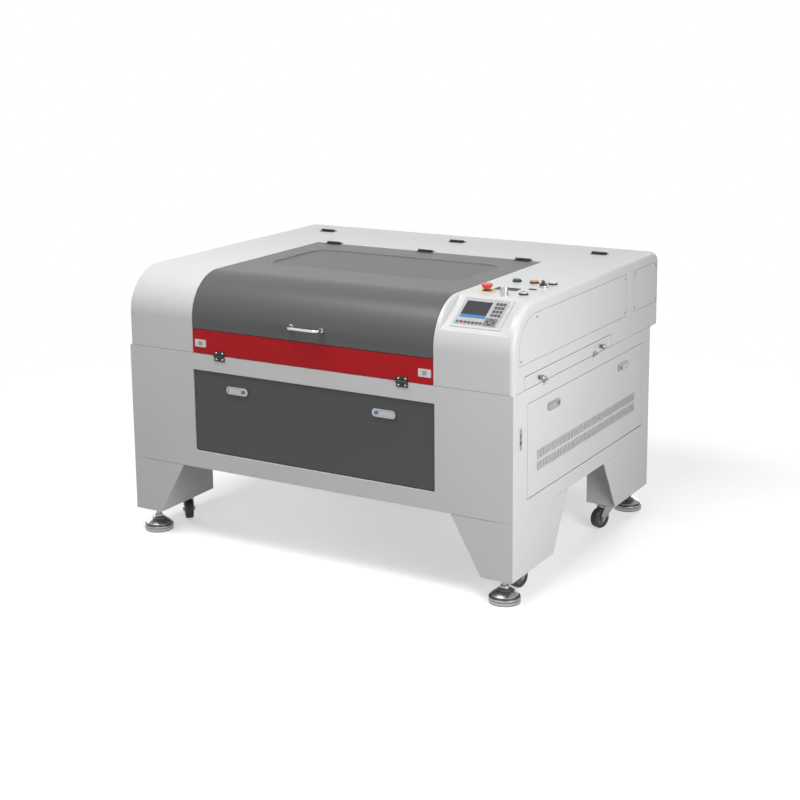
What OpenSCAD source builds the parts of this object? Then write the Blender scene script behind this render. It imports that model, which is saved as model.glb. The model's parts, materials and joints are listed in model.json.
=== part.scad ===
// Carbon dioxide laser engraver with a lifting bed, pass-through slots on all four sides,
// a hinged lid, a laser tube housing across the back, and a cabinet on four tapered legs.
// X runs to the right, Y to the back and Z up; the origin is under the middle, on the floor.

/* [Body] */
// Width over the two side faces
body_w = 1430; // [1400:10:1800]
// Depth of the upper body
body_d = 1145; // [1130:5:1400]
// How far the tube housing hangs over behind the cabinet
overhang = 70; // [30:5:120]
// Height of the legs
leg_h = 183; // [120:1:260]
// Height of the lower cabinet
cabinet_h = 390; // [370:5:520]
// Height of the upper body above the cabinet
upper_h = 257; // [257:1:320]
// Thickness of the sheet panels
sheet = 3; // [2:0.5:4]
// Gap round doors, flaps and covers
gap = 2; // [1.5:0.5:3]
// Radius of the bend where the front turns into the top
front_r = 145; // [120:5:170]
// Radius of the bend at the upper rear edge
rear_r = 35; // [25:5:50]
// Rounding of the long outer edges of the upper body
edge_r = 16; // [6:1:20]
// Width of the flanges that stiffen and join the shells
flange = 25; // [15:1:30]
// Width and depth of the shadow line where two shells meet
seam_line = 1.4; // [0.8:0.1:1.8]

/* [Legs, feet and casters] */
// Width of a leg at its foot, seen from the front
leg_foot_w = 106; // [90:1:140]
// Width of a leg at the cabinet, seen from the front
leg_top_w = 209; // [150:1:260]
// Depth of a leg at its foot, seen from the side
leg_foot_d = 288; // [260:1:320]
// Depth of a leg at the cabinet, seen from the side
leg_top_d = 394; // [330:1:440]
// Thickness of the plate under each leg
leg_plate = 6; // [4:1:10]
// Height of the leg above the floor, set by the levelling feet
foot_h = 83; // [80:1:110]
// Radius of a levelling pad
foot_r = 49; // [35:1:52]
// Radius of a levelling foot's threaded stem
stem_r = 8; // [6:1:10]
// Distance of a levelling foot from the two outer faces
foot_inset = 51; // [50:1:60]
// Radius of a caster wheel
wheel_r = 34; // [25:0.5:35]
// Width of a caster wheel
wheel_w = 26; // [18:1:28]
// Distance from a caster's swivel axis to its wheel axis
trail = 36; // [20:1:36]
// Distance of a front caster's swivel axis from the side face
caster_x = 55; // [45:1:70]
// Distance of a front caster's swivel axis from the front face
caster_y = 205; // [190:1:250]
// Distance of a rear caster's swivel axis from the side face
rear_caster_x = 43; // [40:1:70]
// Distance of a rear caster's swivel axis from the cabinet's rear face
rear_caster_y = 256; // [200:1:256]

/* [Lid and cover] */
// Width of the lid
lid_w = 900; // [900:10:940]
// Distance of the lid's rear edge from the front
lid_d = 750; // [730:5:760]
// Height of the front flap under the lid
flap_h = 81; // [70:1:90]
// Width of the window in the lid
window_w = 730; // [500:10:780]
// Depth of the window in the lid
window_d = 340; // [200:10:400]
// Distance of the window from the front
window_y = 300; // [250:5:330]
// Thickness of the window pane
pane = 4; // [3:0.5:6]
// Distance between the posts of the lid handle
handle_w = 112; // [80:1:160]
// Thickness of the lid handle
handle_bar = 9; // [6:1:12]
// How far the lid handle stands out
handle_reach = 36; // [30:1:60]
// Height of the lid handle above the lower edge of the lid
handle_rise = 46; // [30:1:60]
// Width of the hinged cover over the laser tube
cover_w = 1240; // [1100:10:1260]
// Depth of the hinged cover over the laser tube
cover_d = 160; // [150:5:180]

/* [Doors and flaps] */
// Width of the front door opening
front_door_w = 906; // [800:2:940]
// Height of the front door opening
front_door_h = 277; // [240:1:290]
// Length of the side door opening
side_door_l = 912; // [800:2:940]
// Height of the side door opening
side_door_h = 298; // [240:1:298]
// Height of the front door opening above the cabinet floor
front_door_rise = 58; // [45:1:60]
// Height of the side door opening above the cabinet floor
side_door_rise = 48; // [45:1:60]
// Distance of the side door opening from the front
side_door_y = 96; // [80:1:100]
// Depth of a door's folded edge
door_fold = 15; // [10:1:16]
// How far the front door is set back behind the cabinet's face
door_recess = 5; // [0:0.5:6]
// Length of a side pass-through
side_slot_l = 655; // [500:5:660]
// Distance of a side pass-through from the front
side_slot_y = 74; // [70:1:100]
// Height of the side and rear pass-throughs
slot_h = 41; // [36:1:44]
// How far a flap's pull knob stands out
knob_reach = 22; // [16:1:30]
// Length of a vent slot
vent_h = 26; // [16:1:30]
// Width of a vent slot
vent_w = 8; // [4:1:10]
// Distance between neighbouring vent slots
vent_pitch = 20.5; // [16:0.5:23]
// Number of vent slots in a row
vent_count = 38; // [10:1:38]

/* [Latches and hinges] */
// Length of a latch
latch_l = 84; // [70:1:100]
// Height of a latch
latch_h = 26; // [22:1:30]
// Distance between the two latches of a door
latch_span = 552; // [400:2:600]
// Distance of a latch below the top of its door
latch_drop = 54; // [30:1:80]
// Radius of a hinge knuckle
knuckle_r = 4; // [3.5:0.5:5]
// Radius of a hinge pin
pin_r = 2; // [1.5:0.5:2.5]
// Thickness of a hinge leaf
leaf = 2; // [1.5:0.5:2.5]
// Radial play of a pin or shaft in its bore
play = 0.06; // [0.02:0.02:0.1]

/* [Control panel] */
// Angle on the front bend where the display facet starts
facet_from = 24; // [15:1:28]
// Angle on the front bend where the display facet ends
facet_to = 90; // [84:1:90]
// Width of the strip left of the facet
facet_left = 13; // [10:1:20]
// Width of the strip right of the facet
facet_right = 25; // [20:1:35]
// Width of the display frame
display_w = 166; // [140:2:180]
// Height of the display frame
display_h = 130; // [110:2:132]
// Radius of a control's body below the panel
control_r = 11; // [8:0.5:12]
// Travel of the push buttons
button_travel = 3; // [2:0.5:4]

/* [Working area] */
// Width of the honeycomb bed
bed_w = 900; // [750:10:900]
// Depth of the honeycomb bed
bed_d = 600; // [500:10:600]
// Distance of the bed from the front
bed_y = 90; // [88:1:100]
// Thickness of the honeycomb bed
bed_t = 20; // [15:1:30]
// Distance across a honeycomb cell, wall to wall
cell = 44; // [36:1:60]
// Thickness of the honeycomb walls
cell_wall = 4; // [2:0.5:6]
// Clear width between the chamber's side walls
chamber_w = 1180; // [1160:10:1200]
// Travel of the lifting table below the slots
lift_travel = 200; // [100:10:220]
// Radius of a lifting screw
screw_r = 6; // [5:0.5:8]
// Width of the tubes of the table frame
table_tube = 20; // [15:1:25]

/* [Laser and motion] */
// Length of the glass laser tube
tube_l = 1100; // [1000:10:1120]
// Radius of the glass laser tube
tube_r = 40; // [25:1:44]
// Height of the laser beam under the top
beam_drop = 88; // [84:1:95]
// Distance of the beam's side run from the middle
beam_x = 520; // [515:1:525]
// Size of the gantry's square profile
gantry = 40; // [30:1:44]
// Width of a linear rail
rail_w = 15; // [12:1:20]
// Radius of the exhaust collar
exhaust_r = 75; // [50:1:100]
// Length of the exhaust collar
exhaust_l = 40; // [30:1:50]

/* [Hidden] */
$fn = 48;

panel_grey = [0.86, 0.86, 0.86];
dark_grey = [0.27, 0.27, 0.28];
flap_red = [0.76, 0.12, 0.15];
steel = [0.72, 0.73, 0.75];
black = [0.07, 0.07, 0.07];
aluminium = [0.8, 0.81, 0.82];

half_w = body_w / 2;
cabinet_d = body_d - overhang;
cabinet_z = foot_h + leg_h;
seam_z = cabinet_z + cabinet_h;
top_z = seam_z + upper_h;
tube_box_d = cover_d + 85;
tower_d = body_d - tube_box_d;
cover_y = body_d - cover_d;
lid_z = seam_z + flap_h + gap;
window_r = 65;
bend_y = front_r;
bend_z = top_z - front_r;
slack = 0.3;
eps = 0.01;

tower_x = (half_w + lid_w / 2) / 2;
facet_x0 = lid_w / 2 + facet_left;
facet_x1 = half_w - facet_right;
facet_tilt = 90 - (facet_from + facet_to) / 2;
facet_y = bend_y - front_r * cos(facet_from);
facet_z = bend_z + front_r * sin(facet_from);
facet_l = 2 * front_r * sin((facet_to - facet_from) / 2);
display_depth = 28;
liner_inset = front_r * (1 - cos((facet_to - facet_from) / 2)) + display_depth + 4;

chamber_x = chamber_w / 2;
tube_floor_z = top_z - 180;
beam_z = top_z - beam_drop;
tube_y = body_d - 125;
tube_x = 80;
rail_h = 15;
ledge_z = beam_z - gantry / 2 + 6 - 13 - rail_h - sheet;
ledge_w = 70;
rail_x = chamber_x - 45;
rail_top = ledge_z + sheet + rail_h;
block_top = rail_top + 13;
nozzle_y = bed_y + bed_d;
gantry_y = nozzle_y + 55;
head_x = -bed_w / 2;
x_rail_w = 12;
x_rail_t = 8;

bed_z = seam_z - 1 - bed_t;
table_z = bed_z - table_tube;
nut_h = 20;
screw_x = bed_w / 2 + 50;
screw_ys = [bed_y + 30, bed_y + bed_d - 30];
belt_z = cabinet_z + sheet + 18;
pulley_r = 20;
belt_t = 2;
belt_h = 9;

front_door_z = cabinet_z + front_door_rise;
side_door_z = cabinet_z + side_door_rise;
side_door_mid = side_door_y + side_door_l / 2;
door_axis = 6;
door_sill = 4;
door_pin_r = 3;
panel_inset = 35;
panel_rise = 79;
panel_rear = 49;
lip = 12;
screw_head_r = 4;
screw_shank_r = 2;

top_hinge_l = 56;
top_leaf = 17;
front_hinge_l = 40;
front_leaf = 17;
front_hinge_x = 342;
flap_hinge_l = 28;
flap_leaf = 12;
flap_knuckle_r = 3;
flap_pin_r = 1.5;

// Control positions: offset from the tower's middle, distance from the front
estop_at = [-65, 217];
key_at = [11, 181];
red_at = [59, 215];
meter_at = [-22, 271];
port_at = [49, 299];
green_at = [-51, 395];
amber_at = [8, 397];
selector_at = [64, 343];
white_at = [69, 403];
round_controls = [estop_at, key_at, red_at, green_at, amber_at, selector_at, white_at];

// ---------- Helpers ----------

// Everything is drawn from the front face, and this puts the origin under the middle
module placed() {
    translate([0, -(body_d + knob_reach - handle_reach) / 2, 0]) children();
}

// Extrudes a side view (its x is the depth, its y the height) from x0 to x1
module along_x(x0, x1) {
    translate([x0, 0, 0]) rotate([90, 0, 90]) linear_extrude(x1 - x0) children();
}

module box(low, high) {
    translate(low) cube(high - low);
}

module both_sides() {
    children();
    mirror([1, 0, 0]) children();
}

// Repeats a corner piece, drawn at the front left corner of the cabinet
module at_corner(right, rear) {
    translate([0, cabinet_d / 2, 0])
        mirror([right, 0, 0])
            mirror([0, rear, 0])
                translate([-half_w, -cabinet_d / 2, 0])
                    children();
}

module at_all_corners() {
    for (right = [0, 1], rear = [0, 1]) at_corner(right, rear) children();
}

module rounded_rect(size, r) {
    translate([0, r - size.y / 2]) translate([-size.x / 2, 0]) square([size.x, size.y - 2 * r]);
    translate([r - size.x / 2, -size.y / 2]) square([size.x - 2 * r, size.y]);
    for (sx = [-1, 1], sy = [-1, 1])
        translate([sx * (size.x / 2 - r), sy * (size.y / 2 - r)]) circle(r);
}

// Outline of a band round two discs whose middles are length apart
module stadium(length, r) {
    square([length, 2 * r], center = true);
    for (side = [-1, 1]) translate([side * length / 2, 0]) circle(r);
}

// Side view of the upper body, pulled in by i from the front, top and rear faces
module side_view(i) {
    intersection() {
        union() {
            translate([bend_y, seam_z]) square([body_d - front_r - rear_r, upper_h - i]);
            translate([i, seam_z]) square([front_r - i + eps, bend_z - seam_z]);
            translate([bend_y, bend_z]) circle(front_r - i);
            translate([body_d - rear_r - eps, seam_z]) square([rear_r - i + eps, upper_h - rear_r]);
            translate([body_d - rear_r, top_z - rear_r]) circle(max(rear_r - i, eps));
        }
        translate([0, seam_z]) square([body_d, upper_h]);
    }
}

// The part of the side view above the display facet, moved out by off
module above_facet(off) {
    intersection() {
        side_view(0);
        translate([facet_y, facet_z])
            rotate(facet_tilt)
                translate([-front_r, off])
                    square([3 * front_r, front_r]);
    }
}

// Upper body as a full solid with rounded long edges
module body_solid() {
    along_x(-half_w + edge_r, half_w - edge_r) side_view(0);
    along_x(-half_w, half_w) side_view(edge_r);
    both_sides() translate([half_w - edge_r, 0, 0]) {
        translate([0, bend_y, top_z - edge_r])
            rotate([-90, 0, 0])
                cylinder(r = edge_r, h = body_d - front_r - rear_r);
        translate([0, edge_r, seam_z]) cylinder(r = edge_r, h = bend_z - seam_z);
        translate([0, body_d - edge_r, seam_z]) cylinder(r = edge_r, h = upper_h - rear_r);
        translate([0, bend_y, bend_z])
            rotate([90, 0, 90])
                rotate([0, 0, 90])
                    rotate_extrude(angle = 90)
                        translate([front_r - edge_r, 0]) circle(edge_r);
        translate([0, body_d - rear_r, top_z - rear_r])
            rotate([90, 0, 90])
                rotate_extrude(angle = 90)
                    translate([rear_r - edge_r, 0]) circle(edge_r);
    }
}

// The space inside the upper body's skin
module body_cavity() {
    along_x(-half_w + edge_r, half_w - edge_r) side_view(sheet);
    along_x(-half_w + sheet, half_w - sheet) side_view(edge_r);
    box([-half_w + sheet, edge_r, seam_z - 1], [half_w - sheet, body_d - edge_r, seam_z + 1]);
    box([-half_w + edge_r, sheet, seam_z - 1], [half_w - edge_r, body_d - sheet, seam_z + 1]);
}

// Groove round the foot of the upper body, where it stands on the cabinet
module foot_line() {
    translate([0, 0, seam_z - 1]) linear_extrude(1 + seam_line) difference() {
        translate([-half_w - 1, -1]) square([body_w + 2, cabinet_d + 1]);
        translate([0, body_d / 2])
            rounded_rect([body_w - 2 * seam_line, body_d - 2 * seam_line], edge_r - seam_line);
    }
}

// Groove over the top and down both sides, where the towers meet the tube housing
module cross_line() {
    translate([0, tower_d, seam_z]) rotate([90, 0, 0]) linear_extrude(seam_line) difference() {
        translate([-half_w - 1, 0]) square([body_w + 2, upper_h + 1]);
        rounded_rect([body_w - 2 * seam_line, 2 * (upper_h - seam_line)], edge_r - seam_line);
    }
}

// Hinge along X at the origin: the fixed leaf lies towards +Y, the moving one towards -Y
module hinge_fixed(length, width, r, pin) {
    third = length / 3;
    difference() {
        union() {
            box([-length / 2, r + 0.5, -r], [length / 2, width, leaf - r]);
            box([-third / 2 + slack, 0, -r], [third / 2 - slack, r + 1, leaf - r]);
            along_x(-third / 2 + slack, third / 2 - slack) circle(r);
        }
        along_x(-length, length) circle(pin + play);
    }
}

module hinge_moving(length, width, r, pin) {
    third = length / 3;
    box([-length / 2, -width, -r], [length / 2, -r - 0.5, leaf - r]);
    for (side = [-1, 1]) {
        middle = side * third;
        box([middle - third / 2, -r - 1, -r], [middle + third / 2, 0, leaf - r]);
        along_x(middle - third / 2, middle + third / 2) circle(r);
    }
    along_x(-length / 2, length / 2) circle(pin);
}

// Hinge positions across the lid and the tube cover
module at_lid_hinges() {
    for (x = [-1, 0, 1] * (lid_w / 2 - 70)) translate([x, lid_d + 1, top_z + knuckle_r]) children();
}

module at_cover_hinges() {
    for (x = [-1, 0, 1] * (cover_w / 2 - 62))
        translate([x, cover_y + 1, top_z + knuckle_r]) mirror([0, 1, 0]) children();
}

// Front flap hinges: the fixed leaf points down, on the cabinet
module at_front_hinges() {
    for (x = [-1, 1] * front_hinge_x)
        translate([x, -knuckle_r, seam_z]) rotate([-90, 0, 180]) children();
}

// Flap in the right-hand wall; its own +X runs along the wall to the front
module at_right_wall() {
    translate([half_w, side_slot_y + side_slot_l / 2, seam_z]) rotate([0, 0, 90]) children();
}

module at_left_wall() {
    mirror([1, 0, 0]) at_right_wall() children();
}

module at_rear_wall() {
    translate([0, body_d, seam_z]) rotate([0, 0, 180]) children();
}

// The rear flap is turned over, with its hinges along the upper edge
module at_rear_flap() {
    at_rear_wall() translate([0, 0, slot_h + gap]) mirror([0, 0, 1]) children();
}

// Hinges of a flap whose outer face is at y = 0 and faces -Y
module at_flap_hinges(length) {
    for (x = [-1, 1] * (length / 2 - 140))
        translate([x, -flap_knuckle_r, 0]) rotate([-90, 0, 180]) children();
}

// Middle of the display, with its own Z square to the facet
module at_display() {
    translate([tower_x - 11, facet_y, facet_z])
        rotate([facet_tilt, 0, 0])
            translate([0, facet_l / 2 + min(5, (facet_l - display_h) / 2 - 1), 0])
                children();
}

// A control on the flat top of the right tower
module at_control(at) {
    translate([tower_x + at.x, at.y, top_z]) children();
}

// A latch: its own +X points to the middle of the door, -Y is outward
module at_front_latch(side) {
    mirror([side > 0 ? 1 : 0, 0, 0])
        translate([-latch_span / 2, door_recess, front_door_z + front_door_h - latch_drop])
            children();
}

module at_side_latch(side) {
    translate([half_w, side_door_mid, side_door_z + side_door_h - latch_drop + 10])
        rotate([0, 0, 90])
            mirror([side > 0 ? 1 : 0, 0, 0])
                translate([-latch_span / 2, 0, 0])
                    children();
}

// Screw positions of the screwed-on panels, as [depth, height] on a side wall
upper_screws = [
    [panel_inset + 14, seam_z + panel_rise + 14],
    [tower_d - panel_rear - 14, seam_z + panel_rise + 14],
    [tower_d - panel_rear - 14, top_z - panel_inset - 14],
    [bend_y + 10, top_z - panel_inset - 14]
];
end_lip = 3;
end_y0 = tower_d + 15;
end_y1 = body_d - edge_r - 2;
end_z0 = tube_floor_z + 4;
end_z1 = top_z - panel_inset;
end_screws = [for (y = [end_y0 + 12, end_y1 - 12], z = [end_z0 + 12, end_z1 - 12]) [y, z]];
left_screws = [
    for (y = [side_door_y + 12, side_door_mid, side_door_y + side_door_l - 12])
        for (z = [side_door_z + 12, side_door_z + side_door_h - 12]) [y, z]
];

// Side views of the screwed-on panels, grown or shrunk by grow
module upper_panel_view(grow) {
    intersection() {
        side_view(panel_inset - grow);
        translate([0, seam_z + panel_rise - grow])
            square([tower_d - panel_rear + grow, upper_h]);
    }
}

module end_panel_view(grow) {
    translate([(end_y0 + end_y1) / 2, (end_z0 + end_z1) / 2])
        rounded_rect([end_y1 - end_y0 + 2 * grow, end_z1 - end_z0 + 2 * grow], 6);
}

module left_panel_view(grow) {
    translate([side_door_y - grow, side_door_z - grow])
        square([side_door_l + 2 * grow, side_door_h + 2 * grow]);
}

module screw_holes(places) {
    for (at = places)
        along_x(half_w - 3 * sheet, half_w + 1) translate(at) circle(screw_shank_r + 0.15);
}

module screw_bodies(places) {
    for (at = places) {
        along_x(half_w, half_w + 2) translate(at) circle(screw_head_r);
        along_x(half_w - 2 * sheet, half_w + 1) translate(at) circle(screw_shank_r);
    }
}

// ---------- Cabinet, legs, feet ----------

// Folded frame round a door opening in a wall whose outer face is y = 0
module door_jamb(w, h, recess) {
    depth = recess + door_fold + sheet + 2;
    difference() {
        box([-w / 2 - sheet, sheet, -sheet], [w / 2 + sheet, depth + sheet, h + sheet]);
        box([-w / 2, 0, 0], [w / 2, depth, h]);
        box([-w / 2 + lip, 0, lip], [w / 2 - lip, depth + 2 * sheet, h - lip]);
        along_x(-w, w) translate([recess + door_axis, door_axis + door_sill]) circle(door_pin_r + play);
    }
}

module at_front_door() {
    translate([0, 0, front_door_z]) children();
}

module at_right_door() {
    translate([half_w, side_door_mid, side_door_z]) rotate([0, 0, 90]) children();
}

module base_cabinet() color(panel_grey) placed() {
    difference() {
        box([-half_w, 0, cabinet_z], [half_w, cabinet_d, seam_z]);
        box([-half_w + sheet, sheet, cabinet_z + sheet], [half_w - sheet, cabinet_d - sheet, seam_z - sheet]);
        box([-half_w + flange, flange, seam_z - 2 * sheet], [half_w - flange, cabinet_d - flange, seam_z + 1]);
        at_front_door() box([-front_door_w / 2, -1, 0], [front_door_w / 2, sheet + 1, front_door_h]);
        at_right_door() box([-side_door_l / 2, -1, 0], [side_door_l / 2, sheet + 1, side_door_h]);
        mirror([1, 0, 0]) along_x(half_w - 2 * sheet, half_w + 1) left_panel_view(0);
        translate([0, cabinet_d, exhaust_z])
            rotate([90, 0, 0]) translate([0, 0, -1]) cylinder(r = exhaust_r - 4, h = sheet + 2);
        at_port_plate() box([-port_w / 2 + 3, -1, -port_h / 2 + 3], [port_w / 2 - 3, 2 * sheet, port_h / 2 - 3]);
        at_inlets() inlet_holes();
    }
    at_front_door() door_jamb(front_door_w, front_door_h, door_recess);
    at_right_door() door_jamb(side_door_l, side_door_h, 0);
    mirror([1, 0, 0]) difference() {
        along_x(half_w - 2 * sheet, half_w - sheet) difference() {
            left_panel_view(lip);
            left_panel_view(-2 * lip);
        }
        screw_holes(left_screws);
    }
}

module leg() {
    difference() {
        union() {
            translate([0, sheet, 0]) rotate([90, 0, 0])
                linear_extrude(sheet) polygon([[0, 0], [leg_foot_w, 0], [leg_top_w, leg_h], [0, leg_h]]);
            along_x(0, sheet) polygon([[0, 0], [leg_foot_d, 0], [leg_top_d, leg_h], [0, leg_h]]);
        }
        box([-1, -1, leg_h - seam_line], [leg_top_w, seam_line, leg_h + 1]);
        box([-1, -1, leg_h - seam_line], [seam_line, leg_top_d, leg_h + 1]);
    }
    difference() {
        box([0, 0, 0], [leg_foot_w, leg_foot_d, leg_h]);
        box([sheet, sheet, leg_plate], [leg_foot_w - sheet, leg_foot_d - sheet, leg_h + 1]);
        translate([foot_inset, foot_inset, -1]) cylinder(r = stem_r + play, h = leg_plate + 2);
    }
    translate([0, 0, leg_h - sheet]) linear_extrude(sheet) difference() {
        polygon([[0, 0], [leg_top_w, 0], [leg_foot_w, leg_foot_d], [0, leg_top_d]]);
        translate([-1, -1]) square([leg_top_w + 1, 1 + seam_line]);
        translate([-1, -1]) square([1 + seam_line, leg_top_d + 1]);
    }
}

module legs() color(panel_grey) placed() {
    at_all_corners() translate([0, 0, foot_h]) leg();
}

module levelling_foot() {
    rim = 2.5;
    rotate_extrude($fn = 64) {
        // Rim, ring step, dome and waisted neck
        square([foot_r - rim, 20]);
        translate([0, rim]) square([foot_r, 20 - 2 * rim]);
        for (z = [rim, 20 - rim]) translate([foot_r - rim, z]) circle(rim, $fn = 24);
        square([foot_r - 4, 23]);
        intersection() {
            translate([0, -15]) circle(59);
            square([foot_r - 6.5, 44]);
        }
        difference() {
            square([22, 52]);
            translate([22, 52]) circle(10);
        }
        square([stem_r, foot_h + leg_plate + 30]);
    }
    translate([0, 0, 45]) cylinder(r = 14, h = 8, $fn = 6);
    // Jam nut on top of the leg's plate
    translate([0, 0, foot_h + leg_plate]) cylinder(r = 15, h = 13, $fn = 6);
}

module levelling_feet() color(steel) placed() {
    at_all_corners() translate([foot_inset, foot_inset, 0]) levelling_foot();
}

caster_plate_t = 2.5;
king_r = 5;
fork_top = foot_h - caster_plate_t - 0.4;
fork_t = 3;
axle_r = 4;
axle_z = wheel_r + 3;
cheek_y = wheel_w / 2 + 1.2;

// A caster's plate, seen from its own corner of the cabinet
module at_plate(rear) {
    x = rear > 0 ? rear_caster_x : caster_x;
    y = rear > 0 ? rear_caster_y : caster_y;
    translate([x, y, foot_h - caster_plate_t]) children();
}

module caster_plates() color(steel) placed() {
    for (right = [0, 1], rear = [0, 1]) at_corner(right, rear) at_plate(rear) difference() {
        linear_extrude(caster_plate_t) difference() {
            rounded_rect([62, 62], 6);
            for (sx = [-1, 1], sy = [-1, 1]) translate([sx * 23, sy * 23]) circle(3.3);
        }
        translate([0, 0, -1]) cylinder(r = king_r + play, h = caster_plate_t + 2);
    }
}

// How far each swivel is turned about the vertical at rest
function fork_turn(right, rear) = rear > 0 ? 230 + 20 * right : 315 - 60 * right;

// A caster's own frame: the wheel trails towards +X
module at_caster(right, rear) {
    x = half_w - (rear > 0 ? rear_caster_x : caster_x);
    y = rear > 0 ? cabinet_d - rear_caster_y : caster_y;
    translate([right > 0 ? x : -x, y, 0]) rotate([0, 0, fork_turn(right, rear)]) children();
}

module caster_fork(right, rear) color(steel) placed() at_caster(right, rear) {
    translate([0, 0, fork_top - 5]) cylinder(r = 22, h = 5);
    cylinder_at = fork_top - eps;
    translate([0, 0, cylinder_at]) cylinder(r = king_r, h = caster_plate_t);
    translate([0, 0, fork_top - 4]) linear_extrude(4) translate([6, 0])
        rounded_rect([44, 2 * cheek_y + 2 * fork_t], 4);
    for (side = [-1, 1]) translate([0, side > 0 ? cheek_y + fork_t : -cheek_y, 0])
        rotate([90, 0, 0]) linear_extrude(fork_t) {
            polygon([
                [-14, fork_top], [26, fork_top], [trail + 9, axle_z + 12], [trail + 9, axle_z],
                [trail - 8, axle_z - 4], [-12, fork_top - 14]
            ]);
            translate([trail, axle_z]) circle(9);
        }
    translate([trail, 0, axle_z]) rotate([90, 0, 0])
        cylinder(r = axle_r, h = 2 * (cheek_y + fork_t) + 2, center = true);
    for (side = [-1, 1])
        translate([trail, side * (cheek_y + fork_t + 2), axle_z]) rotate([90, 0, 0])
            cylinder(r = 6.5, h = 4, center = true, $fn = 6);
}

module caster_wheel(right, rear) color(dark_grey) placed() at_caster(right, rear) {
    translate([trail, 0, axle_z]) rotate([90, 0, 0]) rotate_extrude($fn = 64) difference() {
        union() {
            square([wheel_r - 4, wheel_w], center = true);
            translate([(wheel_r - 4) / 2, 0]) square([wheel_r - 4, wheel_w], center = true);
            translate([wheel_r / 2, 0]) square([wheel_r, wheel_w - 8], center = true);
            for (side = [-1, 1])
                translate([wheel_r - 4, side * (wheel_w / 2 - 4)]) circle(4, $fn = 24);
        }
        translate([-wheel_r, -wheel_w]) square([wheel_r + axle_r + play, 2 * wheel_w]);
        for (side = [-1, 1])
            translate([17, side * wheel_w / 2]) square([12, 5], center = true);
    }
}

module caster_fork_front_left() caster_fork(0, 0);
module caster_fork_front_right() caster_fork(1, 0);
module caster_fork_rear_left() caster_fork(0, 1);
module caster_fork_rear_right() caster_fork(1, 1);
module caster_wheel_front_left() caster_wheel(0, 0);
module caster_wheel_front_right() caster_wheel(1, 0);
module caster_wheel_rear_left() caster_wheel(0, 1);
module caster_wheel_rear_right() caster_wheel(1, 1);

// ---------- Upper body ----------

// Right-hand tower, without the display facet; the left one is its mirror image
module tower() {
    difference() {
        intersection() {
            difference() {
                body_solid();
                body_cavity();
            }
            box([lid_w / 2, -1, seam_z], [half_w + 1, tower_d, top_z + 1]);
        }
        foot_line();
        cross_line();
        along_x(half_w - 2 * sheet, half_w + 1) upper_panel_view(0);
        at_right_wall() box([-side_slot_l / 2, -1, -1], [side_slot_l / 2, 2 * sheet, slot_h + gap]);
    }
    intersection() {
        along_x(lid_w / 2, lid_w / 2 + sheet) difference() {
            side_view(seam_line);
            side_view(flange + 5);
        }
        box([0, 0, seam_z], [half_w, tower_d, top_z]);
    }
    difference() {
        along_x(half_w - 2 * sheet, half_w - sheet) difference() {
            upper_panel_view(lip);
            upper_panel_view(-2 * lip);
        }
        screw_holes(upper_screws);
    }
    box([lid_w / 2, seam_line, seam_z], [half_w - edge_r, flange, seam_z + sheet]);
}

module left_tower() color(panel_grey) placed() mirror([1, 0, 0]) tower();

module display_cutout() {
    at_display() linear_extrude(4 * sheet, center = true)
        square([display_w - 24, display_h - 24], center = true);
}

module right_tower() color(panel_grey) placed() difference() {
    union() {
        difference() {
            tower();
            along_x(facet_x0, facet_x1) above_facet(0);
        }
        difference() {
            along_x(facet_x0 - sheet, facet_x1 + sheet) above_facet(-sheet);
            along_x(facet_x0, facet_x1) above_facet(0);
        }
    }
    display_cutout();
    for (at = round_controls)
        at_control(at) translate([0, 0, -2 * sheet]) cylinder(r = control_r + slack, h = 3 * sheet);
    at_control(meter_at) box([-34, -15, -2 * sheet], [34, 15, 1]);
    at_control(port_at) box([-9, -6, -2 * sheet], [9, 6, 1]);
}

// Plates inside the housing: crossbar stiffener, the tube compartment's floor and front wall,
// and the floor of the overhang
module housing_plates() {
    box([-lid_w / 2 - 1, lid_d + gap, top_z - 20], [lid_w / 2 + 1, lid_d + gap + sheet, top_z]);
    box([-half_w, tower_d, tube_floor_z - sheet], [half_w, body_d, tube_floor_z]);
    difference() {
        box([-half_w, tower_d, tube_floor_z - 1], [half_w, tower_d + sheet, top_z]);
        translate([-beam_x, tower_d - 1, beam_z]) rotate([-90, 0, 0]) cylinder(r = 12, h = sheet + 2);
    }
    box([-half_w, cabinet_d, seam_z - 1], [half_w, body_d, seam_z + sheet]);
}

module rear_housing() color(panel_grey) placed() {
    difference() {
        intersection() {
            body_solid();
            union() {
                box([-half_w - 1, tower_d, seam_z], [half_w + 1, body_d + 1, top_z + 1]);
                box([-lid_w / 2, lid_d + gap, seam_z], [lid_w / 2, tower_d + 1, top_z + 1]);
            }
        }
        difference() {
            body_cavity();
            housing_plates();
        }
        foot_line();
        cross_line();
        both_sides() box([lid_w / 2 - seam_line, 0, top_z - seam_line], [lid_w / 2 + 1, tower_d, top_z + 1]);
        box([-cover_w / 2, cover_y, tube_floor_z], [cover_w / 2, body_d + 1, top_z + 1]);
        both_sides() along_x(half_w - 2 * sheet, half_w + 1) end_panel_view(0);
        at_rear_wall() box([-lid_w / 2, -1, -1], [lid_w / 2, 2 * sheet, slot_h + gap]);
    }
    both_sides() difference() {
        along_x(half_w - 2 * sheet, half_w - sheet) difference() {
            end_panel_view(end_lip);
            end_panel_view(-lip);
        }
        screw_holes(end_screws);
    }
}

module access_panels() color(panel_grey) placed() {
    both_sides() difference() {
        along_x(half_w - sheet, half_w) {
            upper_panel_view(-gap / 2);
            end_panel_view(-gap / 2);
        }
        screw_holes(concat(upper_screws, end_screws));
    }
    mirror([1, 0, 0]) difference() {
        along_x(half_w - sheet, half_w) left_panel_view(-gap / 2);
        screw_holes(left_screws);
    }
}

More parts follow.
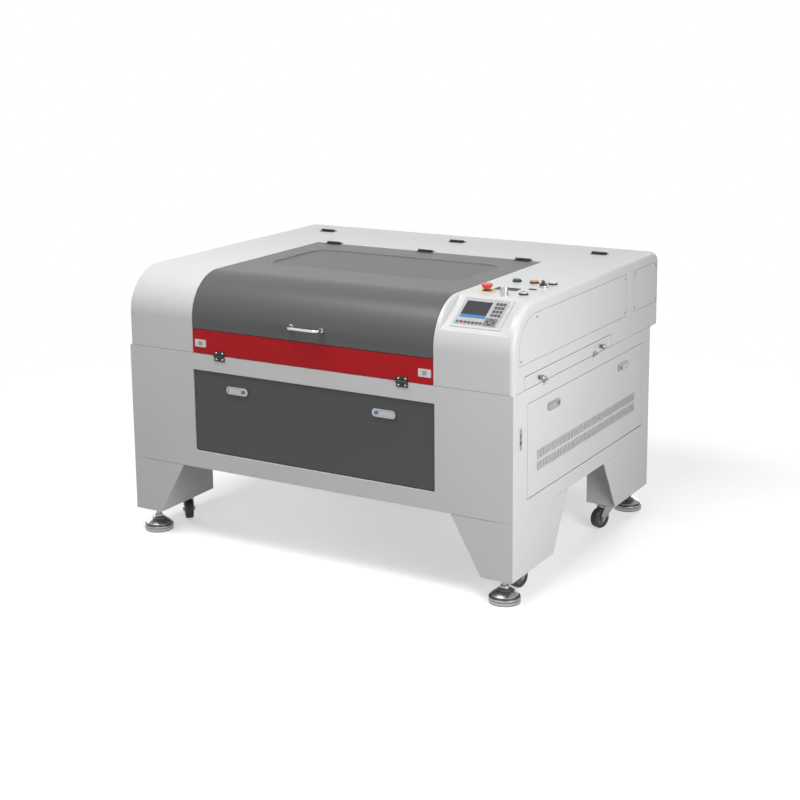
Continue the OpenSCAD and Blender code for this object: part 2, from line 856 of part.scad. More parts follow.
// Work chamber: side walls with rail ledges, slot trays, sills and rear wall, each a piece
// of its own that stands or is screwed against the cabinet
module chamber_liner() color(aluminium) placed() {
    both_sides() {
        difference() {
            along_x(chamber_x, chamber_x + sheet) intersection() {
                union() {
                    side_view(liner_inset);
                    translate([liner_inset, cabinet_z + sheet]) square([body_d, cabinet_h]);
                }
                square([tower_d, top_z]);
            }
            box(
                [chamber_x - 1, side_slot_y, seam_z],
                [chamber_x + 2 * sheet, side_slot_y + side_slot_l, seam_z + slot_h]
            );
        }
        box([chamber_x - ledge_w, 60, ledge_z], [chamber_x, tower_d - sheet - slack, ledge_z + sheet]);
        box([chamber_x - ledge_w, 60, ledge_z - 22], [chamber_x - ledge_w + sheet, tower_d - sheet - slack, ledge_z]);
        slot_tray();
    }
    // Sills that carry a long sheet in front of the bed and behind it
    sill_x = chamber_x - slack;
    box([-sill_x, flange, seam_z - sheet], [sill_x, bed_y - table_tube - 4, seam_z]);
    box([-lid_w / 2, tower_d + slack, seam_z - sheet], [lid_w / 2, cabinet_d - flange, seam_z]);
    difference() {
        box([-sill_x, tower_d - sheet, cabinet_z + sheet], [sill_x, tower_d, tube_floor_z - sheet]);
        box([-lid_w / 2, tower_d - 2 * sheet, seam_z], [lid_w / 2, tower_d + 1, seam_z + slot_h]);
        box([-180, tower_d - 2 * sheet, exhaust_z - 60], [180, tower_d + 1, exhaust_z + 60]);
    }
}

// Folded tray between the chamber's wall and the slot in the tower: floor, roof and two cheeks
module slot_tray() {
    tray_x = chamber_x + sheet + slack;
    y0 = side_slot_y - sheet - 1;
    y1 = side_slot_y + side_slot_l + sheet + 1;
    roof_z = seam_z + slot_h + gap;
    box([tray_x, y0, seam_z - sheet], [half_w - flange, y1, seam_z]);
    box([tray_x, y0, roof_z], [half_w - sheet, y1, roof_z + sheet]);
    for (y = [y0, y1 - sheet]) box([tray_x, y, seam_z], [half_w - sheet, y + sheet, roof_z]);
}

// ---------- Lid, cover, flaps ----------

module lid_shell() color(dark_grey) placed() difference() {
    intersection() {
        union() {
            along_x(-lid_w / 2 + gap, lid_w / 2 - gap) difference() {
                side_view(0);
                side_view(sheet);
            }
            for (side = [-1, 1])
                along_x(side * (lid_w / 2 - gap - sheet / 2) - sheet / 2, side * (lid_w / 2 - gap - sheet / 2) + sheet / 2)
                    difference() {
                        side_view(0);
                        side_view(22);
                    }
            box([-lid_w / 2 + gap, 1, lid_z], [lid_w / 2 - gap, 20, lid_z + sheet]);
            box([-lid_w / 2 + gap, lid_d - sheet, top_z - 20], [lid_w / 2 - gap, lid_d, top_z - 1]);
        }
        box([-lid_w, -1, lid_z], [lid_w, lid_d, top_z + 1]);
    }
    translate([0, window_y + window_d / 2, top_z - 2 * sheet])
        linear_extrude(3 * sheet) rounded_rect([window_w, window_d], window_r);
    for (side = [-1, 1])
        translate([side * handle_w / 2, -1, lid_z + handle_rise])
            rotate([-90, 0, 0]) cylinder(r = handle_bar / 2 + play, h = 15);
}

module lid_window() color([0.2, 0.2, 0.22, 0.6]) placed() {
    translate([0, window_y + window_d / 2, top_z - sheet - pane])
        linear_extrude(pane) rounded_rect([window_w + 30, window_d + 30], window_r + 10);
}

module lid_handle() color(steel) placed() translate([0, 0, lid_z + handle_rise]) {
    bar_r = handle_bar / 2;
    bow_r = 14;
    bow_y = -handle_reach + bar_r;
    translate([-handle_w / 2 + bow_r, bow_y, 0]) rotate([0, 90, 0]) cylinder(r = bar_r, h = handle_w - 2 * bow_r);
    both_sides() {
        translate([handle_w / 2 - bow_r, bow_y + bow_r, 0])
            rotate([0, 0, -90]) rotate_extrude(angle = 90) translate([bow_r, 0]) circle(bar_r);
        translate([handle_w / 2, bow_y + bow_r - eps, 0])
            rotate([-90, 0, 0]) cylinder(r = bar_r, h = 12 - bow_y - bow_r);
        translate([handle_w / 2, -4, 0]) rotate([-90, 0, 0]) cylinder(r = 8, h = 4);
        translate([handle_w / 2, sheet + 2, 0]) rotate([-90, 0, 0]) cylinder(r = 8, h = 6, $fn = 6);
    }
}

module lid_leaves() color(black) placed() {
    at_lid_hinges() hinge_moving(top_hinge_l, top_leaf, knuckle_r, pin_r);
}

module tube_cover() color(panel_grey) placed() intersection() {
    union() {
        along_x(-cover_w / 2 + gap, cover_w / 2 - gap) difference() {
            side_view(0);
            side_view(sheet);
        }
        for (side = [-1, 1])
            along_x(side * (cover_w / 2 - gap - sheet / 2) - sheet / 2, side * (cover_w / 2 - gap - sheet / 2) + sheet / 2)
                difference() {
                    side_view(0);
                    side_view(18);
                }
    }
    box([-cover_w, cover_y + gap, tube_floor_z + gap], [cover_w, body_d + 1, top_z + 1]);
}

module cover_leaves() color(black) placed() {
    at_cover_hinges() hinge_moving(top_hinge_l, top_leaf, knuckle_r, pin_r);
}

module front_flap() color(flap_red) placed() translate([0, 0, seam_z]) {
    box([-lid_w / 2 + gap, 0, gap], [lid_w / 2 - gap, sheet, flap_h]);
    box([-lid_w / 2 + gap + 1, sheet - 1, flap_h - sheet], [lid_w / 2 - gap - 1, 16, flap_h]);
}

module flap_leaves() color(black) placed() {
    at_front_hinges() hinge_moving(front_hinge_l, front_leaf, knuckle_r, pin_r);
}

// A drop flap with its outer face at y = 0, its pull knobs and its hinge leaves
module drop_flap(length) {
    color(panel_grey) box([-length / 2 + gap, 0, gap], [length / 2 - gap, sheet, slot_h]);
    color(steel) {
        for (x = [-1, 1] * (length / 2 - 97)) translate([x, 0, slot_h / 2]) rotate([90, 0, 0]) {
            rotate_extrude() intersection() {
                union() {
                    square([4, knob_reach - 5]);
                    square([7, 3]);
                    translate([0, knob_reach - 9]) circle(9);
                }
                square([20, 2 * knob_reach]);
            }
        }
        at_flap_hinges(length) hinge_moving(flap_hinge_l, flap_leaf, flap_knuckle_r, flap_pin_r);
    }
}

module right_flap() placed() at_right_wall() drop_flap(side_slot_l);
module left_flap() placed() at_left_wall() drop_flap(side_slot_l);
module rear_flap() placed() at_rear_flap() drop_flap(lid_w);

module fixed_hinge_leaves() color(black) placed() {
    at_lid_hinges() hinge_fixed(top_hinge_l, top_leaf, knuckle_r, pin_r);
    at_cover_hinges() hinge_fixed(top_hinge_l, top_leaf, knuckle_r, pin_r);
    at_front_hinges() hinge_fixed(front_hinge_l, front_leaf, knuckle_r, pin_r);
    at_right_wall() at_flap_hinges(side_slot_l) hinge_fixed(flap_hinge_l, flap_leaf, flap_knuckle_r, flap_pin_r);
    at_left_wall() at_flap_hinges(side_slot_l) hinge_fixed(flap_hinge_l, flap_leaf, flap_knuckle_r, flap_pin_r);
    at_rear_flap() at_flap_hinges(lid_w) hinge_fixed(flap_hinge_l, flap_leaf, flap_knuckle_r, flap_pin_r);
}

// ---------- Doors and latches ----------

// A folded pan with pivot pins at its lower ends, its outer face at y = 0
module door_pan(w, h) {
    difference() {
        box([-w / 2 + gap, 0, door_sill], [w / 2 - gap, door_fold, h - gap]);
        box([-w / 2 + gap + sheet, sheet, door_sill + sheet], [w / 2 - gap - sheet, door_fold + 1, h - gap - sheet]);
    }
    for (side = [-1, 1]) translate([side * (w / 2 - gap), door_axis, door_axis + door_sill])
        rotate([0, side * 90, 0]) translate([0, 0, -2]) cylinder(r = door_pin_r, h = gap + sheet + 2);
}

// Latch housing: a pill with a well for the paddle and a lock core beside it
well_l = 52;
well_x = -9;
core_x = 26;
paddle_h = latch_h - 9.2;
pivot_x = well_x - well_l / 2 + 3.2;
pivot_y = -4;
barrel_r = 2.4;

module latch_housing() {
    rotate([90, 0, 0]) difference() {
        linear_extrude(6) rounded_rect([latch_l, latch_h], latch_h / 2 - 1);
        translate([well_x, 0, 1.2]) linear_extrude(6) rounded_rect([well_l, latch_h - 8], 2);
        translate([pivot_x, 0, -pivot_y]) rotate([90, 0, 0])
            cylinder(r = pin_r - 0.5 + play, h = latch_h - 3, center = true);
    }
    translate([core_x, 0, 0]) rotate([90, 0, 0]) difference() {
        cylinder(r = 6.5, h = 8);
        translate([-0.8, -4, 7]) cube([1.6, 8, 2]);
    }
}

// Latch paddle: pivots about its outer end
module latch_paddle() {
    free_x = well_x + well_l / 2 - 0.6;
    translate([(pivot_x + free_x) / 2, -1.9, 0]) rotate([90, 0, 0]) linear_extrude(4.6)
        rounded_rect([free_x - pivot_x, paddle_h], 1.5);
    translate([pivot_x, pivot_y, 0]) {
        cylinder(r = barrel_r, h = paddle_h, center = true);
        cylinder(r = pin_r - 0.5, h = latch_h - 4, center = true);
    }
}

module front_door() color(dark_grey) placed() {
    at_front_door() translate([0, door_recess, 0]) door_pan(front_door_w, front_door_h);
    for (side = [-1, 1]) at_front_latch(side) latch_housing();
}

module vent_rows() {
    for (row = [0, 1], i = [0:vent_count - 1])
        translate([(i - (vent_count - 1) / 2) * vent_pitch, 0, side_door_h - 224 + row * (vent_h + 10)])
            box([-vent_w / 2, -1, 0], [vent_w / 2, sheet + 1, vent_h]);
}

module right_door() color(panel_grey) placed() {
    at_right_door() difference() {
        door_pan(side_door_l, side_door_h);
        vent_rows();
    }
    for (side = [-1, 1]) at_side_latch(side) latch_housing();
}

module front_left_latch() color(steel) placed() at_front_latch(-1) latch_paddle();
module front_right_latch() color(steel) placed() at_front_latch(1) latch_paddle();
module side_front_latch() color(steel) placed() at_side_latch(-1) latch_paddle();
module side_rear_latch() color(steel) placed() at_side_latch(1) latch_paddle();

// ---------- Controls ----------

stem_bore_r = control_r - 3;
cap_r = control_r + 1.3;
well_z = 0.8;
estop_collar = 3;
estop_travel = 5;
key_h = 20;
selector_collar = 8;

// Panel-mount collar: a flange on the panel and a threaded body through it
module collar(flange_r, height) {
    difference() {
        union() {
            cylinder(r = flange_r, h = height);
            translate([0, 0, -26]) cylinder(r = control_r, h = 27);
        }
        translate([0, 0, -27]) cylinder(r = stem_bore_r + slack, h = height + 28);
    }
}

// Push button bezel, with a well that its cap moves in
module bezel() {
    difference() {
        collar(control_r + 3.5, 5);
        translate([0, 0, well_z]) cylinder(r = cap_r + slack, h = 6);
    }
}

module panel_fittings() placed() {
    color("gold") at_control(estop_at) difference() {
        cylinder(r = 30, h = 1.5);
        translate([0, 0, -1]) cylinder(r = control_r + slack + 4, h = 4);
    }
    color(black) {
        at_control(estop_at) collar(control_r + 4, estop_collar);
        for (at = [red_at, green_at, amber_at, white_at]) at_control(at) bezel();
    }
    color(steel) {
        at_control(key_at) {
            collar(control_r + 1, key_h);
            collar(control_r + 3, 2);
        }
        at_control(selector_at) collar(control_r + 3, selector_collar);
    }
    color(black) at_control(meter_at) difference() {
        union() {
            linear_extrude(1.5) rounded_rect([74, 36], 2);
            box([-33.5, -14.5, -28], [33.5, 14.5, 1]);
        }
        box([-30, -11, 0.5], [30, 11, 3]);
    }
    color(black) at_control(port_at) difference() {
        union() {
            linear_extrude(1.5) rounded_rect([24, 16], 2);
            box([-8.5, -5.5, -16], [8.5, 5.5, 1]);
        }
        box([-6.5, -2.5, -12], [6.5, 2.5, 3]);
    }
}

module push_cap() {
    translate([0, 0, well_z + 0.2 + button_travel]) {
        cylinder(r = cap_r, h = 5);
        cylinder(r = cap_r - 1, h = 6);
    }
    translate([0, 0, -22]) cylinder(r = stem_bore_r, h = 24 + button_travel);
}

module green_button() color([0.1, 0.5, 0.35]) placed() at_control(green_at) push_cap();
module amber_button() color([0.95, 0.6, 0.1]) placed() at_control(amber_at) push_cap();
module white_button() color([0.9, 0.9, 0.9]) placed() at_control(white_at) push_cap();
module red_button() color([0.85, 0.2, 0.2]) placed() at_control(red_at) push_cap();

module estop_button() color([0.85, 0.15, 0.15]) placed() at_control(estop_at) {
    translate([0, 0, estop_collar + estop_travel + 0.5]) rotate_extrude() {
        square([13, 8]);
        translate([0, 6]) square([15.5, 8.5]);
        translate([0, 8]) square([17.5, 4.5]);
        for (z = [8, 12.5]) translate([15.5, z]) circle(2, $fn = 24);
    }
    translate([0, 0, -22]) cylinder(r = stem_bore_r, h = 24 + estop_collar + estop_travel);
}

module key_switch() color(steel) placed() at_control(key_at) difference() {
    union() {
        translate([0, 0, -22]) cylinder(r = stem_bore_r, h = 24 + key_h);
        translate([0, 0, key_h + 0.4]) cylinder(r = control_r, h = 4);
    }
    box([-1, -6, key_h - 4], [1, 6, key_h + 6]);
}

module selector_knob() color(black) placed() at_control(selector_at) {
    translate([0, 0, -22]) cylinder(r = stem_bore_r, h = 24 + selector_collar);
    translate([0, 0, selector_collar + 0.4]) {
        cylinder(r = 12, h = 4);
        rotate([0, 0, 35]) linear_extrude(13) {
            translate([-4, -9]) square([8, 18]);
            for (y = [-9, 9]) translate([0, y]) circle(4);
        }
    }
}

bezel_w = display_w - 20;
bezel_h = display_h - 17;
screen_w = 86;
screen_h = 71;

module display_module() color(panel_grey) placed() at_display() {
    difference() {
        union() {
            linear_extrude(2.5) rounded_rect([display_w, display_h], 3);
            translate([-3, 1.5, 0]) linear_extrude(4) rounded_rect([bezel_w, bezel_h], 2);
        }
        translate([-25, 10, 3]) linear_extrude(3) square([screen_w, screen_h], center = true);
    }
    translate([0, 0, -display_depth])
        linear_extrude(display_depth + 1) square([display_w - 26, display_h - 26], center = true);
}

// ---------- Ports and exhaust ----------

exhaust_z = cabinet_z + 190;
port_w = 24;
port_h = 74;

module at_port_plate() {
    translate([half_w, 48, cabinet_z + 249]) rotate([0, 0, 90]) children();
}

module at_inlets() {
    translate([half_w - 140, cabinet_d, cabinet_z + 120]) rotate([0, 0, 180]) children();
}

hose_xs = [60, 100];

module inlet_holes() {
    box([-14, -1, -20], [14, 2 * sheet, 20]);
    for (x = hose_xs)
        translate([x, 2 * sheet, 0]) rotate([90, 0, 0]) cylinder(r = 6 + play, h = 3 * sheet);
}

module connector_plates() color(black) placed() {
    at_port_plate() difference() {
        union() {
            box([-port_w / 2, -1.5, -port_h / 2], [port_w / 2, 0, port_h / 2]);
            box([-port_w / 2 + 4, -1, -port_h / 2 + 4], [port_w / 2 - 4, 18, port_h / 2 - 4]);
        }
        for (z = [-24, 0, 24]) box([-5, -2, z - 8], [5, 10, z + 8]);
    }
    at_inlets() {
        difference() {
            union() {
                box([-25, -2, -25], [25, 0, 25]);
                box([-13.5, -1, -19.5], [13.5, 24, 19.5]);
            }
            box([-10, -3, -12], [10, 16, 12]);
        }
        for (x = hose_xs) translate([x, 0, 0]) rotate([90, 0, 0]) difference() {
            rotate_extrude() {
                translate([0, -12]) square([6, 20]);
                square([9, 6]);
                for (z = [8, 14, 20]) translate([0, z]) polygon([[0, 0], [6.5, 0], [5, 6], [0, 6]]);
            }
            translate([0, 0, -13]) cylinder(r = 3, h = 50);
        }
    }
}

module exhaust_collar() color(panel_grey) placed()
    translate([0, cabinet_d, exhaust_z]) rotate([-90, 0, 0]) difference() {
        union() {
            cylinder(r = exhaust_r, h = exhaust_l, $fn = 64);
            linear_extrude(sheet) rounded_rect([2 * exhaust_r + 40, 2 * exhaust_r + 40], 12);
        }
        translate([0, 0, -1]) cylinder(r = exhaust_r - sheet, h = exhaust_l + 2, $fn = 64);
    }

module fasteners() color(steel) placed() {
    both_sides() screw_bodies(concat(upper_screws, end_screws));
    mirror([1, 0, 0]) screw_bodies(left_screws);
}

// ---------- Laser, motion and electronics ----------

drive_x = rail_x + 24;
drive_z = ledge_z + sheet + 13;
drive_ys = [86, tower_d - 24];
drive_r = 9;

// Rails with the gantry's drive belts beside them, each round two pulleys on small brackets
module linear_rails() placed() both_sides() {
    color(steel) box([rail_x - rail_w / 2, 70, ledge_z + sheet], [rail_x + rail_w / 2, tower_d - 10, rail_top]);
    color(black) along_x(drive_x, drive_x + 7) translate([(drive_ys[0] + drive_ys[1]) / 2, drive_z])
        difference() {
            stadium(drive_ys[1] - drive_ys[0], drive_r + 2);
            stadium(drive_ys[1] - drive_ys[0], drive_r);
        }
    color(steel) for (y = drive_ys) {
        along_x(drive_x, drive_x + 7) translate([y, drive_z]) circle(drive_r - slack);
        along_x(drive_x + 7 + slack, drive_x + 9) translate([y, drive_z]) circle(drive_r + 3);
        along_x(drive_x, drive_x + 12) translate([y, drive_z]) circle(4);
        box([drive_x + 11, y - 12, ledge_z + sheet], [chamber_x, y + 12, drive_z + 9]);
    }
}

module laser_tube() color([0.85, 0.92, 0.95]) placed() translate([tube_x - tube_l / 2, tube_y, beam_z])
    rotate([0, 90, 0]) {
        translate([0, 0, 30]) cylinder(r = tube_r, h = tube_l - 60, $fn = 64);
        translate([0, 0, 8]) cylinder(r = tube_r / 2, h = tube_l - 16);
        cylinder(r = 14, h = tube_l);
    }

module tube_clamps() color(aluminium) placed() {
    for (side = [-1, 1]) translate([tube_x + side * tube_l * 0.3, tube_y, 0]) difference() {
        union() {
            along_x(-12, 12) translate([0, beam_z]) circle(tube_r + 10);
            box([-12, -tube_r - 10, tube_floor_z], [12, tube_r + 10, beam_z]);
            box([-20, -tube_r - 26, tube_floor_z], [20, tube_r + 26, tube_floor_z + 6]);
        }
        along_x(-30, 30) translate([0, beam_z]) circle(tube_r + play);
    }
    // Fixed mirror that turns the beam towards the gantry
    translate([-beam_x, tube_y, 0]) {
        box([-22, -22, tube_floor_z], [22, 22, tube_floor_z + 6]);
        box([-6, -6, tube_floor_z + 5], [6, 6, beam_z - 17]);
        difference() {
            box([-18, -18, beam_z - 18], [18, 18, beam_z + 18]);
            translate([0, 0, beam_z]) rotate([90, 0, 0]) cylinder(r = 9, h = 19);
            translate([0, 0, beam_z]) rotate([0, 90, 0]) cylinder(r = 9, h = 19);
        }
    }
}

module electronics() color(steel) placed() {
    wall = chamber_x + sheet;
    // High-voltage supply with cooling fins
    box([wall, 180, cabinet_z + 80], [wall + 88, 420, cabinet_z + 230]);
    for (i = [0:10]) box([wall + 20, 192 + 21 * i, cabinet_z + 229], [wall + 70, 196 + 21 * i, cabinet_z + 240]);
    // Motion controller and three motor drivers
    box([wall, 480, cabinet_z + 110], [wall + 45, 660, cabinet_z + 240]);
    for (i = [0:2]) {
        box([wall, 710 + 55 * i, cabinet_z + 100], [wall + 75, 745 + 55 * i, cabinet_z + 218]);
        box([wall + 74, 714 + 55 * i, cabinet_z + 110], [wall + 82, 741 + 55 * i, cabinet_z + 130]);
    }
}

module beam_section() {
    difference() {
        translate([-gantry / 2, 0]) square(gantry);
        translate([0, gantry / 2]) circle(gantry / 5);
        for (turn = [0:3]) translate([0, gantry / 2]) rotate(90 * turn) {
            translate([gantry / 2 - 2.5, -3.5]) square([4, 7]);
            translate([gantry / 2 - 7, -7]) square([5, 14]);
        }
    }
}

module gantry_beam() placed() translate([0, gantry_y, 0]) {
    color(aluminium) {
        along_x(-rail_x - 22, rail_x + 22) translate([0, block_top]) beam_section();
        both_sides() difference() {
            box([rail_x - 17, -30, rail_top - 11], [rail_x + 17, 30, block_top]);
            box(
                [rail_x - rail_w / 2 - slack, -31, rail_top - 12],
                [rail_x + rail_w / 2 + slack, 31, rail_top + slack]
            );
        }
    }
    color(steel) box(
        [-rail_x + 20, -gantry / 2 - x_rail_t, block_top + gantry / 2 - x_rail_w / 2],
        [rail_x - 20, -gantry / 2, block_top + gantry / 2 + x_rail_w / 2]
    );
    // Mirror that turns the beam along the gantry, on an arm from the beam's end
    color(black) translate([-beam_x, -gantry / 2 - 34, 0]) difference() {
        union() {
            box([-16, -16, beam_z - 16], [16, 16, beam_z + 16]);
            box([-10, 14, block_top + 3], [10, 34, block_top + 12]);
        }
        translate([0, 0, beam_z]) rotate([90, 0, 0]) cylinder(r = 8, h = 40, center = true);
        translate([0, 0, beam_z]) rotate([0, 90, 0]) cylinder(r = 8, h = 20);
    }
    // Cross drive motor
    color(black) translate([rail_x - 60, gantry / 2, block_top - 1]) box([-21, 0, 0], [21, 42, 42]);
}

module laser_head() placed() translate([head_x, nozzle_y, 0]) {
    rail_z = block_top + gantry / 2;
    rail_face = gantry_y - gantry / 2 - nozzle_y;
    color(black) {
        difference() {
            box([-28, rail_face - x_rail_t - 8, rail_z - 15], [28, rail_face - 0.6, rail_z + 15]);
            box(
                [-29, rail_face - x_rail_t - slack, rail_z - x_rail_w / 2 - slack],
                [29, rail_face + 1, rail_z + x_rail_w / 2 + slack]
            );
        }
        box([-32, rail_face - x_rail_t - 14, rail_z - 48], [32, rail_face - x_rail_t - 7.5, rail_z + 15]);
        box([-20, -14, rail_z - 10], [20, rail_face - x_rail_t - 13.5, rail_z + 10]);
    }
    color(steel) rotate_extrude() difference() {
        union() {
            translate([0, bed_z + bed_t + 50]) polygon([[0, 0], [3, 0], [12, 26], [0, 26]]);
            translate([0, bed_z + bed_t + 75]) square([12, 20]);
            translate([0, bed_z + bed_t + 94]) square([15, rail_z + 8 - bed_z - bed_t - 94]);
        }
        translate([-1, 0]) square([2.2, rail_z - 12]);
    }
    color(steel) translate([0, 0, bed_z + bed_t + 104]) rotate([90, 0, 0]) cylinder(r = 3, h = 24);
}

// ---------- Lifting table ----------

module table_frame() color(steel) placed() {
    x1 = bed_w / 2 + table_tube;
    y0 = bed_y - table_tube;
    y1 = bed_y + bed_d + table_tube;
    difference() {
        box([-x1, y0, table_z], [x1, y1, table_z + table_tube]);
        box([-x1 + table_tube, y0 + table_tube, table_z - 1], [x1 - table_tube, y1 - table_tube, table_z + table_tube + 1]);
    }
    for (x = [-bed_w / 4, 0, bed_w / 4])
        box([x - table_tube / 2, y0 + table_tube - 1, table_z], [x + table_tube / 2, y1 - table_tube + 1, table_z + table_tube]);
    for (side = [-1, 1], y = screw_ys) difference() {
        union() {
            translate([side * screw_x, y, table_z - nut_h + 6]) cylinder(r = screw_r + 8, h = nut_h);
            box(
                [min(side * (x1 - 1), side * screw_x), y - 12, table_z],
                [max(side * (x1 - 1), side * screw_x), y + 12, table_z + 6]
            );
        }
        translate([side * screw_x, y, table_z - nut_h]) cylinder(r = screw_r + play, h = 2 * nut_h);
    }
}

module honeycomb_bed() color(aluminium) placed() translate([0, bed_y, bed_z]) {
    rim = 10;
    step_x = (cell + cell_wall) * cos(30);
    step_y = cell + cell_wall;
    cols = floor((bed_w / 2 - rim - cell) / step_x);
    rows = floor((bed_d - 2 * rim - cell / 2) / step_y) - 1;
    start_y = (bed_d - (rows + 0.5) * step_y) / 2;
    linear_extrude(bed_t) difference() {
        translate([-bed_w / 2, 0]) square([bed_w, bed_d]);
        for (i = [-cols:cols], j = [0:rows])
            translate([i * step_x, start_y + (j + abs(i) % 2 / 2) * step_y])
                circle(r = cell / 2 / cos(30), $fn = 6);
    }
}

module lift_screw(side, y) color(steel) placed() translate([side * screw_x, y, 0]) {
    screw_z = cabinet_z + sheet + 2 + slack;
    translate([0, 0, screw_z]) cylinder(r = screw_r, h = seam_z - 4 - screw_z);
    translate([0, 0, belt_z - 2.5]) {
        cylinder(r = pulley_r + 3, h = 2);
        cylinder(r = pulley_r, h = belt_h + 5);
        translate([0, 0, belt_h + 3]) cylinder(r = pulley_r + 3, h = 2);
    }
}

module lift_screw_front_left() lift_screw(-1, screw_ys[0]);
module lift_screw_front_right() lift_screw(1, screw_ys[0]);
module lift_screw_rear_left() lift_screw(-1, screw_ys[1]);
module lift_screw_rear_right() lift_screw(1, screw_ys[1]);

module lift_drive() placed() {
    floor_z = cabinet_z + sheet;
    mid_y = (screw_ys[0] + screw_ys[1]) / 2;
    color(steel) for (side = [-1, 1], y = screw_ys) translate([side * screw_x, y, floor_z]) difference() {
        union() {
            linear_extrude(5) rounded_rect([60, 60], 6);
            cylinder(r = 16, h = 12);
        }
        translate([0, 0, 2]) cylinder(r = screw_r + play, h = 20);
    }
    // Belt round the four pulleys
    inner = pulley_r + slack;
    color(black) translate([0, mid_y, belt_z]) linear_extrude(belt_h) difference() {
        rounded_rect([2 * (screw_x + inner + belt_t), screw_ys[1] - screw_ys[0] + 2 * (inner + belt_t)], inner + belt_t);
        rounded_rect([2 * (screw_x + inner), screw_ys[1] - screw_ys[0] + 2 * inner], inner);
    }
    // Lift motor, with its pulley on the inside of the belt
    color(black) translate([0, screw_ys[1] + inner - 24, 0]) {
        translate([0, 0, belt_z - 3]) cylinder(r = 23.6, h = belt_h + 6);
        translate([0, 0, belt_z + belt_h + 2]) cylinder(r = 4, h = 12);
        box([-28, -28, belt_z + belt_h + 8], [28, 28, belt_z + belt_h + 64]);
        for (side = [-1, 1])
            box([side * 32 - 4, -28, floor_z], [side * 32 + 4, -14, belt_z + belt_h + 64]);
    }
}

base_cabinet();
legs();
levelling_feet();
caster_plates();
left_tower();
right_tower();
rear_housing();
access_panels();
chamber_liner();
linear_rails();
laser_tube();
tube_clamps();
electronics();
lift_drive();
display_module();
panel_fittings();
connector_plates();
exhaust_collar();
fixed_hinge_leaves();
fasteners();
lid_shell();
lid_window();
lid_handle();
lid_leaves();
tube_cover();
cover_leaves();
front_flap();
flap_leaves();
right_flap();
left_flap();
rear_flap();
front_door();
right_door();
front_left_latch();
front_right_latch();
side_front_latch();
side_rear_latch();
estop_button();
key_switch();
selector_knob();
green_button();
amber_button();
white_button();
red_button();
gantry_beam();
laser_head();
table_frame();
honeycomb_bed();
lift_screw_front_left();
lift_screw_front_right();
lift_screw_rear_left();
lift_screw_rear_right();
caster_fork_front_left();
caster_fork_front_right();
caster_fork_rear_left();
caster_fork_rear_right();
caster_wheel_front_left();
caster_wheel_front_right();
caster_wheel_rear_left();
caster_wheel_rear_right();
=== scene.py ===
import json
import math

import bpy
import bmesh
from mathutils import Matrix, Vector


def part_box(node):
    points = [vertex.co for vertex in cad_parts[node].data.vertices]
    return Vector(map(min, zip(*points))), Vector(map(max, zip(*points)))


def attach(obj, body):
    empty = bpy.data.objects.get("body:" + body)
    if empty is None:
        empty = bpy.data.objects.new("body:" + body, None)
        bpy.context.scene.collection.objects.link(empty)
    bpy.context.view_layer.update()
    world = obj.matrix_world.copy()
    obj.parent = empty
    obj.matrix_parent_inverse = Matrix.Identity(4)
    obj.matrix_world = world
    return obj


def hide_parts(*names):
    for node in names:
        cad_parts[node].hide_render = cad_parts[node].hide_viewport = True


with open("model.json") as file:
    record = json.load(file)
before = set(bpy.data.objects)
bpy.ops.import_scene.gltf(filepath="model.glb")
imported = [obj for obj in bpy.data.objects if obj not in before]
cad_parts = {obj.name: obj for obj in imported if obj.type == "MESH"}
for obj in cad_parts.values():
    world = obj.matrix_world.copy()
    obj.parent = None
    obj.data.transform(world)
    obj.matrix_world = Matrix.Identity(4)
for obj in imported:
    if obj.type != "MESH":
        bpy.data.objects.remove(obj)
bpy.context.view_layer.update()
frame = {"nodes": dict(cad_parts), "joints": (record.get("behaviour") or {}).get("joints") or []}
nodes = frame["nodes"]
joints = {joint["name"]: joint for joint in frame["joints"]}
print("frame loaded:", len(nodes), "nodes")

# Main planes of the machine, read from the frame
cabinetLow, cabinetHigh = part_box("base_cabinet")
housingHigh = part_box("rear_housing")[1]
leftX, rightX = cabinetLow.x, cabinetHigh.x
frontY, rearY = cabinetLow.y, housingHigh.y
legTopZ, seamZ, topZ = cabinetLow.z, cabinetHigh.z, housingHigh.z
mm = 0.001


def middleOf(low, high):
    return (low + high) / 2


# Materials: how each kind of surface varies, roughness as steps down and up from its own value
noiseRange = {"From Min": 0.3, "From Max": 0.7}
noiseDetail = {"colour": 4.0, "bump": 3.0}
even = (1, 1, 1)
coat = {
    "mottle": 0.014, "mottleScale": 3.0, "down": 0.015, "up": 0.02, "roughScale": 14.0,
    "bump": 0.10, "bumpScale": 1100.0, "bumpDepth": 0.0003,
}
metal = {
    "mottle": 0.04, "mottleScale": 60.0, "down": 0.07, "up": 0.1, "roughScale": 90.0,
    "bump": 0.03, "bumpScale": 400.0, "bumpDepth": 0.0002,
}
plastic = {
    "mottle": 0.03, "mottleScale": 40.0, "bump": 0.08, "bumpScale": 1500.0, "bumpDepth": 0.0002,
}


def newMaterial(name, colour, metallic, roughness, **extra):
    material = bpy.data.materials.new(name)
    material.use_nodes = True
    shader = material.node_tree.nodes["Principled BSDF"]
    shader.inputs["Base Color"].default_value = (*colour, 1.0)
    shader.inputs["Metallic"].default_value = metallic
    shader.inputs["Roughness"].default_value = roughness
    for key, value in extra.items():
        shader.inputs[key.replace("_", " ")].default_value = value
    return material


def addNode(tree, kind, inputs=None, **settings):
    node = tree.nodes.new(kind)
    for key, value in settings.items():
        setattr(node, key, value)
    for key, value in (inputs or {}).items():
        if isinstance(value, bpy.types.NodeSocket):
            tree.links.new(value, node.inputs[key])
        else:
            node.inputs[key].default_value = value
    return node


def feedShader(material, inputName, socket):
    tree = material.node_tree
    tree.links.new(socket, tree.nodes["Principled BSDF"].inputs[inputName])


